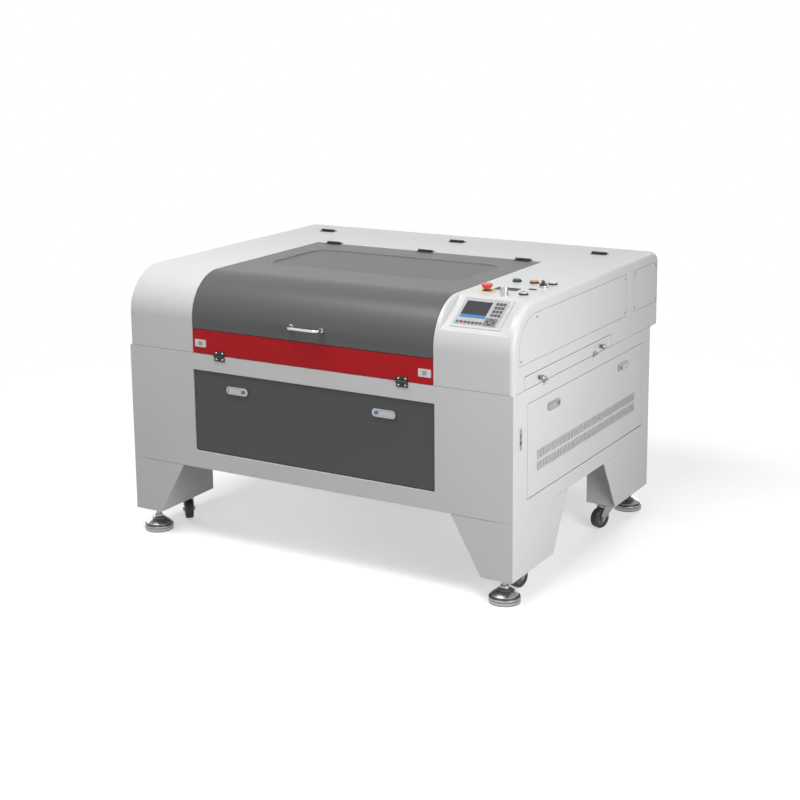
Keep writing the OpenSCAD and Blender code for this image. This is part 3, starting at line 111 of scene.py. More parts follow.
# Noise on object coordinates, stretched along an axis where wanted
def grainPattern(material, scale, stretch, detail=noiseDetail["colour"]):
    tree = material.node_tree
    place = addNode(tree, "ShaderNodeTexCoord").outputs["Object"]
    mapping = addNode(tree, "ShaderNodeMapping", {"Vector": place, "Scale": stretch})
    return addNode(tree, "ShaderNodeTexNoise", {
        "Vector": mapping.outputs[0], "Scale": scale, "Detail": detail,
    }).outputs["Fac"]


def addBump(material, scale, strength, distance, stretch=even):
    bump = addNode(material.node_tree, "ShaderNodeBump", {
        "Height": grainPattern(material, scale, stretch, noiseDetail["bump"]),
        "Strength": strength, "Distance": distance,
    })
    feedShader(material, "Normal", bump.outputs[0])


def addMottle(material, colour, amount, scale, stretch=even):
    ramp = addNode(material.node_tree, "ShaderNodeValToRGB", {
        "Fac": grainPattern(material, scale, stretch),
    })
    for step, edge, share in zip(
        ramp.color_ramp.elements, noiseRange.values(), (1 - amount, 1 + amount),
    ):
        step.position = edge
        step.color = (*[min(c * share, 1) for c in colour], 1)
    feedShader(material, "Base Color", ramp.outputs[0])


def addRoughness(material, low, high, scale, stretch=even):
    spreadOut = addNode(material.node_tree, "ShaderNodeMapRange", {
        "Value": grainPattern(material, scale, stretch), **noiseRange,
        "To Min": low, "To Max": high,
    })
    feedShader(material, "Roughness", spreadOut.outputs[0])


def powderCoat(name, colour, roughness, **extra):
    material = newMaterial(name, colour, 0.0, roughness, **extra)
    addMottle(material, colour, coat["mottle"], coat["mottleScale"])
    addRoughness(material, roughness - coat["down"], roughness + coat["up"], coat["roughScale"])
    addBump(material, coat["bumpScale"], coat["bump"], coat["bumpDepth"])
    return material


def brushedMetal(name, colour, roughness, stretch, bump=metal["bump"]):
    material = newMaterial(name, colour, 1.0, roughness)
    addMottle(material, colour, metal["mottle"], metal["mottleScale"], stretch)
    low, high = roughness - metal["down"], roughness + metal["up"]
    addRoughness(material, low, high, metal["roughScale"], stretch)
    if bump:
        addBump(material, metal["bumpScale"], bump, metal["bumpDepth"], stretch)
    return material


def mouldedPlastic(name, colour, roughness, bump=plastic["bump"], **extra):
    material = newMaterial(name, colour, 0.0, roughness, **extra)
    addMottle(material, colour, plastic["mottle"], plastic["mottleScale"])
    addBump(material, plastic["bumpScale"], bump, plastic["bumpDepth"])
    return material


# Bands of painted highlight and painted shade by height on a part that stands on the floor, in
# place of the reflections and shaded grooves of turned metal: how dark or bright each height is
def addLightAndShadeBands(material, colour, top, rings):
    tree = material.node_tree
    place = addNode(tree, "ShaderNodeTexCoord")
    height = addNode(tree, "ShaderNodeSeparateXYZ", {"Vector": place.outputs["Object"]})
    share = addNode(tree, "ShaderNodeMapRange", {"Value": height.outputs["Z"], "From Max": top})
    ramp = addNode(tree, "ShaderNodeValToRGB", {"Fac": share.outputs[0]})
    steps = ramp.color_ramp.elements
    steps.remove(steps[1])
    for index, (z, shade) in enumerate(rings):
        step = steps[0] if index == 0 else steps.new(z / top)
        step.position = z / top
        step.color = (*[min(c * shade, 1) for c in colour], 1)
    feedShader(material, "Base Color", ramp.outputs[0])


# Colour, roughness, then for metals the stretch of the brushing; a bump and extras may follow
metalFinishes = {
    "brightSteel": ((0.60, 0.60, 0.61), 0.30, (1, 1, 12)),
    "railSteel": ((0.62, 0.63, 0.65), 0.22, (1, 0.05, 1)),
    "zincPlate": ((0.58, 0.58, 0.57), 0.36, even),
    "polishedChrome": ((0.58, 0.58, 0.58), 0.16, (1, 1, 3)),
    "knobChrome": ((0.30, 0.30, 0.31), 0.14, (1, 1, 3)),
    "latchSilver": ((0.42, 0.43, 0.44), 0.22, (1, 1, 3), 0.0),
    "screwGrey": ((0.30, 0.30, 0.31), 0.34, even),
    "rawAluminium": ((0.68, 0.69, 0.70), 0.34, (0.05, 1, 1)),
    "footSteel": ((0.34, 0.34, 0.34), 0.30, (1, 1, 6)),
    "forkSteel": ((0.30, 0.30, 0.30), 0.36, even),
    "combAluminium": ((0.36, 0.365, 0.37), 0.42, even),
    "brassFitting": ((0.62, 0.42, 0.16), 0.28, even),
}
coatFinishes = {
    "shellWhite": ((0.80, 0.80, 0.80), 0.36),
    "lidGrey": ((0.130, 0.130, 0.132), 0.38, {"Specular_IOR_Level": 0.3}),
    # Painted light: a lighter grey for the walls of the lid's window opening
    "lidEdge": ((0.45, 0.45, 0.45), 0.4),
    "doorGrey": ((0.066, 0.066, 0.068), 0.42),
    "flapRed": ((0.56, 0.008, 0.014), 0.36, {"Specular_IOR_Level": 0.25}),
    "linerGrey": ((0.42, 0.43, 0.44), 0.5),
    "hingeBlack": ((0.012, 0.012, 0.012), 0.32),
    # Painted shade: a darker grey than the shell for the vent hoods
    "ventGrey": ((0.54, 0.54, 0.54), 0.45),
    "controllerBlue": ((0.03, 0.05, 0.10), 0.4),
}
plasticFinishes = {
    # Painted shadow for seams and gaps, in two strengths
    "seamDark": ((0.02, 0.02, 0.02), 0.7),
    "seamGrey": ((0.20, 0.20, 0.20), 0.6),
    "blackPlastic": ((0.018, 0.018, 0.019), 0.42),
    "frameWhite": ((0.74, 0.74, 0.74), 0.4),
    "moduleGrey": ((0.56, 0.57, 0.58), 0.42),
    "keyGrey": ((0.10, 0.105, 0.11), 0.5),
    "keyGreen": ((0.01, 0.26, 0.06), 0.45),
    "keyRed": ((0.45, 0.01, 0.03), 0.45),
    "arrowDark": ((0.008, 0.009, 0.010), 0.5),
    "padGrey": ((0.21, 0.215, 0.22), 0.5),
    "ringGrey": ((0.50, 0.51, 0.52), 0.4),
    "fieldGrey": ((0.42, 0.44, 0.46), 0.5),
    "sealGrey": ((0.09, 0.09, 0.092), 0.6),
    "wheelGrey": ((0.12, 0.12, 0.125), 0.45),
    "tyreRubber": ((0.045, 0.045, 0.046), 0.6, 0.3),
    "beltBlack": ((0.015, 0.015, 0.015), 0.6, 0.3),
    "labelWhite": ((0.86, 0.86, 0.86), 0.4),
    "lockBlue": ((0.06, 0.20, 0.42), 0.35),
    "hoseBlue": ((0.05, 0.22, 0.42), 0.35),
    "wireRed": ((0.45, 0.02, 0.02), 0.4),
    "ringYellow": ((0.80, 0.79, 0.24), 0.4),
    "portTan": ((0.42, 0.32, 0.23), 0.5),
    "portAmber": ((0.42, 0.22, 0.09), 0.5),
    "dischargePink": ((0.60, 0.28, 0.42), 0.4),
    "lampGreen": ((0.35, 0.62, 0.10), 0.3, 0.02),
    "screenDark": ((0.050, 0.051, 0.054), 0.42, 0.0, {"Specular_IOR_Level": 0.2}),
    "screenBlue": ((0.09, 0.27, 0.60), 0.42, 0.0, {"Specular_IOR_Level": 0.2}),
    "capPink": ((0.84, 0.66, 0.64), 0.3, 0.02, {"Specular_IOR_Level": 0.4}),
    "mushroomRed": ((0.80, 0.065, 0.045), 0.34, 0.03, {"Coat_Weight": 0.2}),
    "lensGreen": ((0.005, 0.17, 0.085), 0.25, 0.02, {"Coat_Weight": 0.6}),
    "lensAmber": ((0.85, 0.30, 0.015), 0.25, 0.02, {"Coat_Weight": 0.6}),
    "lensWhite": ((0.78, 0.78, 0.78), 0.25, 0.02, {"Coat_Weight": 0.6}),
    "lensRed": ((0.62, 0.03, 0.03), 0.25, 0.02, {"Coat_Weight": 0.6}),
    "smokedPane": ((0.098, 0.098, 0.100), 0.34, 0.0, {
        "Transmission_Weight": 0.2, "IOR": 1.49, "Specular_IOR_Level": 0.2,
    }),
    "tubeGlass": ((0.94, 0.97, 0.98), 0.03, 0.0, {"Transmission_Weight": 1.0, "IOR": 1.47}),
}
finish = {}
for maker, table in (
    (brushedMetal, metalFinishes), (powderCoat, coatFinishes), (mouldedPlastic, plasticFinishes),
):
    for name, row in table.items():
        extra = row[-1] if isinstance(row[-1], dict) else {}
        finish[name] = maker(name, *[v for v in row if v is not extra], **extra)
# Painted highlights and painted shade on the levelling feet: each pair is a height in metres and
# how bright the steel colour is there
footLightAndShadeBands = (
    (0.000, 0.2), (0.0020, 0.5), (0.0045, 1.0), (0.0105, 1.1), (0.0120, 0.35), (0.0145, 0.8),
    (0.0185, 1.0), (0.0200, 0.3), (0.0235, 0.4), (0.0250, 1.1), (0.0290, 0.7), (0.0330, 0.9),
    (0.0395, 0.7), (0.0410, 0.35), (0.0440, 0.9),
)
footTop = 0.06
addLightAndShadeBands(finish["footSteel"], metalFinishes["footSteel"][0], footTop, footLightAndShadeBands)
print("finishes made:", len(finish))

corners = ("front_left", "front_right", "rear_left", "rear_right")
nodeFinish = {
    "shellWhite": "base_cabinet legs left_tower right_tower rear_housing access_panels tube_cover"
                  " right_flap left_flap rear_flap right_door exhaust_collar",
    "lidGrey": "lid_shell",
    "doorGrey": "front_door",
    "flapRed": "front_flap",
    "linerGrey": "chamber_liner",
    "smokedPane": "lid_window",
    "hingeBlack": "fixed_hinge_leaves lid_leaves cover_leaves flap_leaves",
    "footSteel": "levelling_feet",
    "polishedChrome": "lid_handle key_switch",
    "latchSilver": "front_left_latch front_right_latch side_front_latch side_rear_latch",
    "railSteel": " ".join(["linear_rails"] + ["lift_screw_" + corner for corner in corners]),
    "brightSteel": "fasteners table_frame",
    "forkSteel": " ".join(["caster_plates"] + ["caster_fork_" + corner for corner in corners]),
    "zincPlate": "electronics",
    "rawAluminium": "tube_clamps gantry_beam honeycomb_bed",
    "tubeGlass": "laser_tube",
    "frameWhite": "display_module",
    "blackPlastic": "panel_fittings connector_plates selector_knob laser_head lift_drive",
    "tyreRubber": " ".join("caster_wheel_" + corner for corner in corners),
    "mushroomRed": "estop_button",
    "lensGreen": "green_button",
    "lensAmber": "amber_button",
    "lensWhite": "white_button red_button",
}
for finishName, names in nodeFinish.items():
    for nodeName in names.split():
        nodes[nodeName].data.materials.clear()
        nodes[nodeName].data.materials.append(finish[finishName])


# Low and high corners of each loose part of a CAD node
def looseParts(nodeName, stepsPerMetre=20000):
    mesh = nodes[nodeName].data
    owner = {}

    def root(key):
        while owner[key] != key:
            owner[key] = owner[owner[key]]
            key = owner[key]
        return key

    keys = [tuple(round(c * stepsPerMetre) for c in v.co) for v in mesh.vertices]
    for key in keys:
        owner.setdefault(key, key)
    for face in mesh.polygons:
        found = [root(keys[i]) for i in face.vertices]
        for other in found[1:]:
            owner[root(other)] = root(found[0])
    groups = {}
    for key, vert in zip(keys, mesh.vertices):
        groups.setdefault(root(key), []).append(vert.co)
    return [
        tuple(Vector([pick(c[i] for c in group) for i in range(3)]) for pick in (min, max))
        for group in groups.values()
    ]


# Each rule is (finish name, test of a face's centre and normal); the first that holds wins
def paintFaces(nodeName, *rules):
    mesh = nodes[nodeName].data
    first = len(mesh.materials)
    for finishName, test in rules:
        mesh.materials.append(finish[finishName])
    for face in mesh.polygons:
        for i, (finishName, test) in enumerate(rules):
            if test(face.center, face.normal):
                face.material_index = first + i
                break


# Distance between two points, leaving out one axis
def flatDistance(a, b, skip):
    return math.hypot(*[a[i] - b[i] for i in range(3) if i != skip])


# Share of a face's normal along an axis from which it leans that way, or looks along it
leaning, facing = 0.5, 0.9
skin = 0.1 * mm

# Lock cores sit beside each latch paddle, on the inner side
latch = {
    "coreOffset": 57.8 * mm, "coreRadius": 7 * mm, "stand": 8 * mm, "coreFace": 7.9 * mm,
    "plateFace": 0.5 * mm,
}


def corePlace(jointName, along, sign):
    place = Vector(joints[jointName]["pos_m"])
    place[along] += sign * latch["coreOffset"]
    return place


def paintLatches(doorName, cores, skip, standOut):
    paintFaces(
        doorName,
        ("lockBlue", lambda c, n: standOut(c) > latch["coreFace"]
            and min(flatDistance(c, p, skip) for p in cores) < latch["coreRadius"]),
        ("latchSilver", lambda c, n: standOut(c) > latch["plateFace"]),
    )


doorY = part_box("front_door")[0].y + latch["stand"]
paintLatches("front_door", [
    corePlace("front_left_latch_pivot", 0, 1), corePlace("front_right_latch_pivot", 0, -1),
], 1, lambda c: doorY - c.y)
paintLatches("right_door", [
    corePlace("side_front_latch_pivot", 1, 1), corePlace("side_rear_latch_pivot", 1, -1),
], 0, lambda c: c.x - rightX)

wheelCore = 22.5 * mm
for corner in corners:
    axle = Vector(joints[corner + "_roll"]["pos_m"])
    paintFaces("caster_wheel_" + corner, (
        "wheelGrey", lambda c, n, axle=axle: (c - axle).length < wheelCore,
    ))

# Flaps: the knobs and hinge leaves are chrome, the plate stays painted
proud = 0.2 * mm
paintFaces("right_flap", ("knobChrome", lambda c, n: c.x > rightX + proud))
paintFaces("left_flap", ("knobChrome", lambda c, n: c.x < leftX - proud))
paintFaces("rear_flap", ("knobChrome", lambda c, n: c.y > rearY + proud))
paintFaces("fixed_hinge_leaves", (
    "polishedChrome", lambda c, n: abs(c.x) > rightX or c.y > rearY,
))

# Switches: places come from the joints that move them, or from the caps
switch = {
    "ringRadius": 31 * mm, "ringHole": 15.2 * mm, "ringTop": 1.7 * mm, "bezelRadius": 15 * mm,
}
estopAt = middleOf(*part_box("estop_button"))
turnedSpots = [Vector(joints[name]["pos_m"]) for name in ("key_turn", "selector_turn")]
paintFaces(
    "panel_fittings",
    ("ringYellow", lambda c, n: c.z < topZ + switch["ringTop"]
        and switch["ringHole"] < flatDistance(c, estopAt, 2) < switch["ringRadius"]),
    ("polishedChrome", lambda c, n:
        min(flatDistance(c, spot, 2) for spot in turnedSpots) < switch["bezelRadius"]),
)
redLow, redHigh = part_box("red_button")
redAt = middleOf(redLow, redHigh)
paintFaces("red_button", ("capPink", lambda c, n: True))

# The walls of the window opening in the lid are painted a lighter grey than the lid, as painted
# light over the shade that falls on the step down to the pane
windowLow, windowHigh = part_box("lid_window")
paintFaces("lid_shell", (
    "lidEdge", lambda c, n: abs(n.z) < leaning and c.z > windowHigh.z - skin
    and windowLow.x < c.x < windowHigh.x and windowLow.y < c.y < windowHigh.y,
))

# The lowest edge of the upper body and the highest of the legs are painted dark as shadow in the
# seam between them
seamLine = {"depth": 1.6 * mm, "height": 1.5 * mm}
paintFaces("legs", (
    "seamDark", lambda c, n: c.z > legTopZ - seamLine["height"] and abs(n.y) > leaning
    and c.y < frontY + seamLine["depth"],
))
for nodeName in ("left_tower", "right_tower", "rear_housing"):
    paintFaces(nodeName, (
        "seamGrey", lambda c, n: c.z < seamZ + seamLine["height"] and abs(n.z) < leaning
        and (c.y < frontY + seamLine["depth"] or abs(c.x) > rightX - seamLine["depth"]),
    ))
portPlate = {"reach": 17 * mm, "floor": 5 * mm, "face": 0.5 * mm}
paintFaces("connector_plates", ("frameWhite", lambda c, n: c.x > rightX - portPlate["face"]), (
    "portAmber", lambda c, n: n.x > facing
    and rightX - portPlate["reach"] < c.x < rightX - portPlate["floor"],
))

# Seams: the edges of the screwed-on panels and of the openings they close are painted dark as
# shadow in the gaps
seam = {"grow": 4 * mm, "depth": 4 * mm}
panelBoxes = looseParts("access_panels")


def inSeam(c, n):
    if abs(n.x) > leaning or not rightX - seam["depth"] <= abs(c.x) <= rightX + skin:
        return False
    return any(
        (low.x > 0) == (c.x > 0) and low.y - seam["grow"] < c.y < high.y + seam["grow"]
        and low.z - seam["grow"] < c.z < high.z + seam["grow"] for low, high in panelBoxes
    )


for nodeName in ("access_panels", "right_tower", "left_tower", "rear_housing", "base_cabinet"):
    paintFaces(nodeName, ("seamDark", inSeam))

# Working parts inside: belts, supplies, nozzle and lift drive
inside = {
    "beltInset": 24 * mm, "beltDrop": 9 * mm, "beltHalf": 9.5 * mm,
    "controller": (470 * mm, 670 * mm), "drivers": 700 * mm, "plugs": 75.5 * mm,
    "nozzleTop": 27 * mm, "steelDepth": 31 * mm, "steelTop": 48 * mm,
    "blockTop": 12.5 * mm, "blockX": 0.45,
}
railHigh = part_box("linear_rails")[1]
paintFaces("linear_rails", (
    "beltBlack", lambda c, n: abs(c.x) > railHigh.x - inside["beltInset"] and abs(n.x) > facing
    and abs(c.z - (railHigh.z - inside["beltDrop"])) < inside["beltHalf"],
))
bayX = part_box("electronics")[0].x
controllerFrom, controllerTo = [frontY + y for y in inside["controller"]]
driversY = frontY + inside["drivers"]
paintFaces(
    "electronics",
    ("controllerBlue", lambda c, n: controllerFrom < c.y < controllerTo),
    ("keyGreen", lambda c, n: c.x > bayX + inside["plugs"] and c.y > driversY),
    ("blackPlastic", lambda c, n: c.y > driversY),
)
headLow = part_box("laser_head")[0]
paintFaces(
    "laser_head",
    ("brassFitting", lambda c, n: c.z < headLow.z + inside["nozzleTop"]),
    ("brightSteel", lambda c, n: c.y < headLow.y + inside["steelDepth"]
        and c.z < headLow.z + inside["steelTop"]),
)
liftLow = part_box("lift_drive")[0]
paintFaces("lift_drive", (
    "zincPlate", lambda c, n: c.z < liftLow.z + inside["blockTop"]
    and abs(c.x) > inside["blockX"],
))
print("CAD nodes finished")


# Node trees for what repeats
def newTree(name, *inputs):
    tree = bpy.data.node_groups.new(name, "GeometryNodeTree")
    sockets = (("Geometry", "Geometry"), *inputs, ("Finish", "Material"))
    for label, kind in sockets:
        tree.interface.new_socket(name=label, in_out="INPUT", socket_type="NodeSocket" + kind)
    tree.interface.new_socket(
        name="Geometry", in_out="OUTPUT", socket_type="NodeSocketGeometry",
    )
    return tree, tree.nodes.new("NodeGroupInput").outputs


def floats(*labels):
    return [(label, "Float") for label in labels]


def closeTree(tree, geometry, finishSocket):
    whole = addNode(tree, "GeometryNodeRealizeInstances", {"Geometry": geometry})
    painted = addNode(tree, "GeometryNodeSetMaterial", {
        "Geometry": whole.outputs[0], "Material": finishSocket,
    })
    addNode(tree, "NodeGroupOutput", {"Geometry": painted.outputs[0]})
    return tree


def mathOf(tree, a, b, operation="ADD"):
    return addNode(tree, "ShaderNodeMath", {0: a, 1: b}, operation=operation).outputs[0]


def times(tree, *factors):
    product = factors[0]
    for factor in factors[1:]:
        product = mathOf(tree, product, factor, "MULTIPLY")
    return product


def vectorOf(tree, x=0.0, y=0.0, z=0.0):
    return addNode(tree, "ShaderNodeCombineXYZ", {"X": x, "Y": y, "Z": z}).outputs[0]


def raised(tree, geometry, z):
    return addNode(tree, "GeometryNodeTransform", {
        "Geometry": geometry, "Translation": vectorOf(tree, z=z),
    }).outputs[0]


def joined(tree, *geometries):
    node = tree.nodes.new("GeometryNodeJoinGeometry")
    for geometry in reversed(geometries):
        tree.links.new(geometry, node.inputs[0])
    return node.outputs[0]


def pointVector(tree, name):
    kind = "GeometryNodeInputNamedAttribute"
    return addNode(tree, kind, {"Name": name}, data_type="FLOAT_VECTOR").outputs[0]


# Turn that brings +Z to each point's outward direction and +X to its side direction
def upright(tree):
    first = addNode(tree, "FunctionNodeAlignRotationToVector", {
        "Vector": pointVector(tree, "outward"),
    }, axis="Z")
    return addNode(tree, "FunctionNodeAlignRotationToVector", {
        "Rotation": first.outputs[0], "Vector": pointVector(tree, "side"),
    }, axis="X", pivot_axis="Z").outputs[0]


def spread(tree, points, shape):
    return addNode(tree, "GeometryNodeInstanceOnPoints", {
        "Points": points, "Instance": shape, "Rotation": upright(tree),
    }).outputs[0]


# Sizes are shares of the head's radius or height; the recess gets a random turn, in radians
screwShape = {
    "sides": 20, "shankSides": 12, "shoulder": 0.86, "crown": 0.5, "low": 0.62, "high": 0.38,
    "slotLong": 1.15, "slotWide": 0.3, "shank": 0.45, "seed": 7, "turn": 1.5,
}


# Round-headed screw with a cross recess, its seat at each point
def makeScrewTree():
    tree, given = newTree("crossScrews", *floats("Head Radius", "Head Height", "Shank Length"))
    radius, height, length = [given[key] for key in ("Head Radius", "Head Height", "Shank Length")]
    shape = screwShape
    shoulder = times(tree, radius, shape["shoulder"])
    low = addNode(tree, "GeometryNodeMeshCone", {
        "Vertices": shape["sides"], "Radius Bottom": radius, "Radius Top": shoulder,
        "Depth": times(tree, height, shape["low"]),
    })
    high = addNode(tree, "GeometryNodeMeshCone", {
        "Vertices": shape["sides"], "Radius Bottom": shoulder,
        "Radius Top": times(tree, radius, shape["crown"]),
        "Depth": times(tree, height, shape["high"]),
    })
    head = addNode(tree, "GeometryNodeMeshBoolean", operation="UNION", solver="EXACT")
    tree.links.new(low.outputs[0], head.inputs[1])
    top = raised(tree, high.outputs[0], times(tree, height, shape["low"]))
    tree.links.new(top, head.inputs[1])
    longSide = times(tree, radius, shape["slotLong"])
    shortSide = times(tree, radius, shape["slotWide"])
    cut = addNode(tree, "GeometryNodeMeshBoolean", {
        "Mesh 1": head.outputs[0],
    }, operation="DIFFERENCE", solver="EXACT")
    for sides in ((longSide, shortSide), (shortSide, longSide)):
        block = addNode(tree, "GeometryNodeMeshCube", {"Size": vectorOf(tree, *sides, height)})
        tree.links.new(raised(tree, block.outputs[0], height), cut.inputs[1])
    shank = addNode(tree, "GeometryNodeMeshCylinder", {
        "Vertices": shape["shankSides"], "Radius": times(tree, radius, shape["shank"]),
        "Depth": length,
    })
    sunk = raised(tree, shank.outputs[0], times(tree, length, -0.5))
    copies = spread(tree, given["Geometry"], joined(tree, cut.outputs[0], sunk))
    turn = addNode(tree, "FunctionNodeRandomValue", {"Seed": shape["seed"]}, data_type="FLOAT")
    turn.inputs[2].default_value = 0.0
    turn.inputs[3].default_value = shape["turn"]
    rotated = addNode(tree, "GeometryNodeRotateInstances", {
        "Instances": copies, "Rotation": vectorOf(tree, z=turn.outputs[1]),
    })
    return closeTree(tree, rotated.outputs[0], given["Finish"])


# Key or plate with rounded corners, standing on each point
def makeKeyTree(cornerSteps=4):
    tree, given = newTree("roundedKeys", *floats("Width", "Height", "Corner", "Rise"))
    outline = addNode(tree, "GeometryNodeCurvePrimitiveQuadrilateral", {
        "Width": given["Width"], "Height": given["Height"],
    })
    soft = addNode(tree, "GeometryNodeFilletCurve", {
        "Curve": outline.outputs[0], "Count": cornerSteps, "Radius": given["Corner"],
    }, mode="POLY")
    face = addNode(tree, "GeometryNodeFillCurve", {"Curve": soft.outputs[0]}, mode="NGONS")
    top = addNode(tree, "GeometryNodeExtrudeMesh", {
        "Mesh": face.outputs[0], "Offset Scale": given["Rise"], "Individual": False,
    })
    under = addNode(tree, "GeometryNodeFlipFaces", {"Mesh": face.outputs[0]})
    key = joined(tree, top.outputs[0], under.outputs[0])
    return closeTree(tree, spread(tree, given["Geometry"], key), given["Finish"])


# Round bar, hose or wire along a path
def makeBarTree():
    tree, given = newTree("roundBars", ("Radius", "Float"), ("Sides", "Int"))
    path = addNode(tree, "GeometryNodeMeshToCurve", {"Mesh": given["Geometry"]})
    ring = addNode(tree, "GeometryNodeCurvePrimitiveCircle", {
        "Radius": given["Radius"], "Resolution": given["Sides"],
    })
    tube = addNode(tree, "GeometryNodeCurveToMesh", {
        "Curve": path.outputs[0], "Profile Curve": ring.outputs[0], "Fill Caps": True,
    })
    smooth = addNode(tree, "GeometryNodeSetShadeSmooth", {"Geometry": tube.outputs[0]})
    return closeTree(tree, smooth.outputs[0], given["Finish"])


# Pressed hood over each vent slot: it rises towards one edge and closes at its two ends
hoodShape = {"columns": 6, "rows": 9, "slopePower": 0.7, "endPower": 6.0}


def makeHoodTree():
    tree, given = newTree("ventHoods", *floats("Width", "Height", "Rise", "Thickness"))
    sheetGrid = addNode(tree, "GeometryNodeMeshGrid", {
        "Size X": given["Width"], "Size Y": given["Height"],
        "Vertices X": hoodShape["columns"], "Vertices Y": hoodShape["rows"],
    })
    place = addNode(tree, "GeometryNodeInputPosition")
    parts = addNode(tree, "ShaderNodeSeparateXYZ", {"Vector": place.outputs[0]})
    across = mathOf(tree, mathOf(tree, parts.outputs["X"], given["Width"], "DIVIDE"), 0.5)
    slope = mathOf(tree, across, hoodShape["slopePower"], "POWER")
    along = times(tree, mathOf(tree, parts.outputs["Y"], given["Height"], "DIVIDE"), 2.0)
    away = mathOf(
        tree, mathOf(tree, along, 0.0, "ABSOLUTE"), hoodShape["endPower"], "POWER",
    )
    lift = times(tree, slope, mathOf(tree, 1.0, away, "SUBTRACT"), given["Rise"])
    bent = addNode(tree, "GeometryNodeSetPosition", {
        "Geometry": sheetGrid.outputs[0], "Offset": vectorOf(tree, z=lift),
    })
    flipped = addNode(tree, "GeometryNodeFlipFaces", {"Mesh": bent.outputs[0]})
    back = addNode(tree, "GeometryNodeExtrudeMesh", {
        "Mesh": flipped.outputs[0], "Offset Scale": given["Thickness"], "Individual": False,
    })
    smooth = addNode(tree, "GeometryNodeSetShadeSmooth", {"Geometry": bent.outputs[0]})
    hood = joined(tree, smooth.outputs[0], back.outputs[0])
    return closeTree(tree, spread(tree, given["Geometry"], hood), given["Finish"])


# Honeycomb of closed cell rings, centred on its point: how thick a ring is as a share of the wall,
# and how far in its middle lies as a share of that thickness
combShape = {"sides": 6, "wallShare": 0.45, "insetShare": 0.58}
cosHex = math.cos(math.radians(30))


def makeCombTree():
    tree, given = newTree(
        "honeycomb", *floats("Cell", "Wall", "Depth"), ("Columns", "Int"), ("Rows", "Int"),
    )
    pitch = mathOf(tree, given["Cell"], given["Wall"])
    places = addNode(tree, "GeometryNodeMeshGrid", {
        "Size X": times(
            tree, times(tree, pitch, cosHex), mathOf(tree, given["Columns"], 1, "SUBTRACT"),
        ),
        "Size Y": times(tree, pitch, mathOf(tree, given["Rows"], 1, "SUBTRACT")),
        "Vertices X": given["Columns"], "Vertices Y": given["Rows"],
    })
    index = addNode(tree, "GeometryNodeInputIndex").outputs[0]
    column = mathOf(tree, mathOf(tree, index, given["Rows"], "DIVIDE"), 0.0, "FLOOR")
    odd = mathOf(tree, column, 2.0, "MODULO")
    shift = times(tree, mathOf(tree, odd, 0.5, "SUBTRACT"), pitch, 0.5)
    staggered = addNode(tree, "GeometryNodeSetPosition", {
        "Geometry": places.outputs[0], "Offset": vectorOf(tree, y=shift),
    })
    thin = times(tree, given["Wall"], combShape["wallShare"])
    middle = mathOf(
        tree, times(tree, pitch, 0.5 / cosHex), times(tree, thin, combShape["insetShare"]),
        "SUBTRACT",
    )
    ring = addNode(tree, "GeometryNodeCurvePrimitiveCircle", {
        "Resolution": combShape["sides"], "Radius": middle,
    })
    section = addNode(tree, "GeometryNodeCurvePrimitiveQuadrilateral", {
        "Width": thin, "Height": given["Depth"],
    })
    cell = addNode(tree, "GeometryNodeCurveToMesh", {
        "Curve": ring.outputs[0], "Profile Curve": section.outputs[0],
    })
    cells = addNode(tree, "GeometryNodeInstanceOnPoints", {
        "Points": staggered.outputs[0], "Instance": cell.outputs[0],
    })
    placed = addNode(tree, "GeometryNodeInstanceOnPoints", {
        "Points": given["Geometry"], "Instance": cells.outputs[0],
    })
    return closeTree(tree, placed.outputs[0], given["Finish"])


screwTree, keyTree, barTree = makeScrewTree(), makeKeyTree(), makeBarTree()
hoodTree, combTree = makeHoodTree(), makeCombTree()


# Runs a tree on points (or on a path) and returns the plain mesh
def grow(name, tree, points, outward=(0, 0, 1), side=(1, 0, 0), edges=(), **sizes):
    seedMesh = bpy.data.meshes.new(name + "Seed")
    seedMesh.from_pydata([tuple(p) for p in points], list(edges), [])
    for label, value in (("outward", outward), ("side", side)):
        layer = seedMesh.attributes.new(label, "FLOAT_VECTOR", "POINT")
        values = value if isinstance(value, list) else [value] * len(points)
        layer.data.foreach_set("vector", [float(x) for v in values for x in v])
    holder = bpy.data.objects.new(name + "Holder", seedMesh)
    bpy.context.scene.collection.objects.link(holder)
    modifier = holder.modifiers.new("grow", "NODES")
    modifier.node_group = tree
    for socket in tree.interface.items_tree:
        key = socket.name[0].lower() + socket.name[1:].replace(" ", "")
        if socket.in_out == "INPUT" and key in sizes:
            modifier[socket.identifier] = sizes[key]
    graph = bpy.context.evaluated_depsgraph_get()
    grown = bpy.data.meshes.new_from_object(holder.evaluated_get(graph))
    grown.name = name
    holder.modifiers.remove(modifier)
    bpy.data.objects.remove(holder)
    bpy.data.meshes.remove(seedMesh)
    return grown


# Puts finished meshes together as one piece that rides on a body
def addPiece(name, meshes, body, standsFor=()):
    whole = bmesh.new()
    materials = []
    for mesh in meshes:
        shift = []
        for material in mesh.materials:
            if material not in materials:
                materials.append(material)
            shift.append(materials.index(material))
        first = len(whole.faces)
        whole.from_mesh(mesh)
        whole.faces.ensure_lookup_table()
        for face in whole.faces[first:]:
            face.material_index = shift[min(face.material_index, len(shift) - 1)] if shift else 0
    result = bpy.data.meshes.new(name)
    whole.to_mesh(result)
    whole.free()
    for material in materials:
        result.materials.append(material)
    for layer in ("outward", "side"):
        if layer in result.attributes:
            result.attributes.remove(result.attributes[layer])
    piece = bpy.data.objects.new(result.name, result)
    bpy.context.scene.collection.objects.link(piece)
    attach(piece, body)
    if standsFor:
        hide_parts(*standsFor)
    return piece


def pathEdges(count, closed=False):
    return [(i, i + 1) for i in range(count - 1)] + ([(count - 1, 0)] if closed else [])


def builtMesh(build, name, finishName):
    mesh = bpy.data.meshes.new(name)
    build.to_mesh(mesh)
    build.free()
    mesh.materials.append(finish[finishName])
    return mesh


# Angle in radians from which an edge stays sharp, and the distance within which points merge
sharpFrom, mergeWithin = 0.6, 1e-7


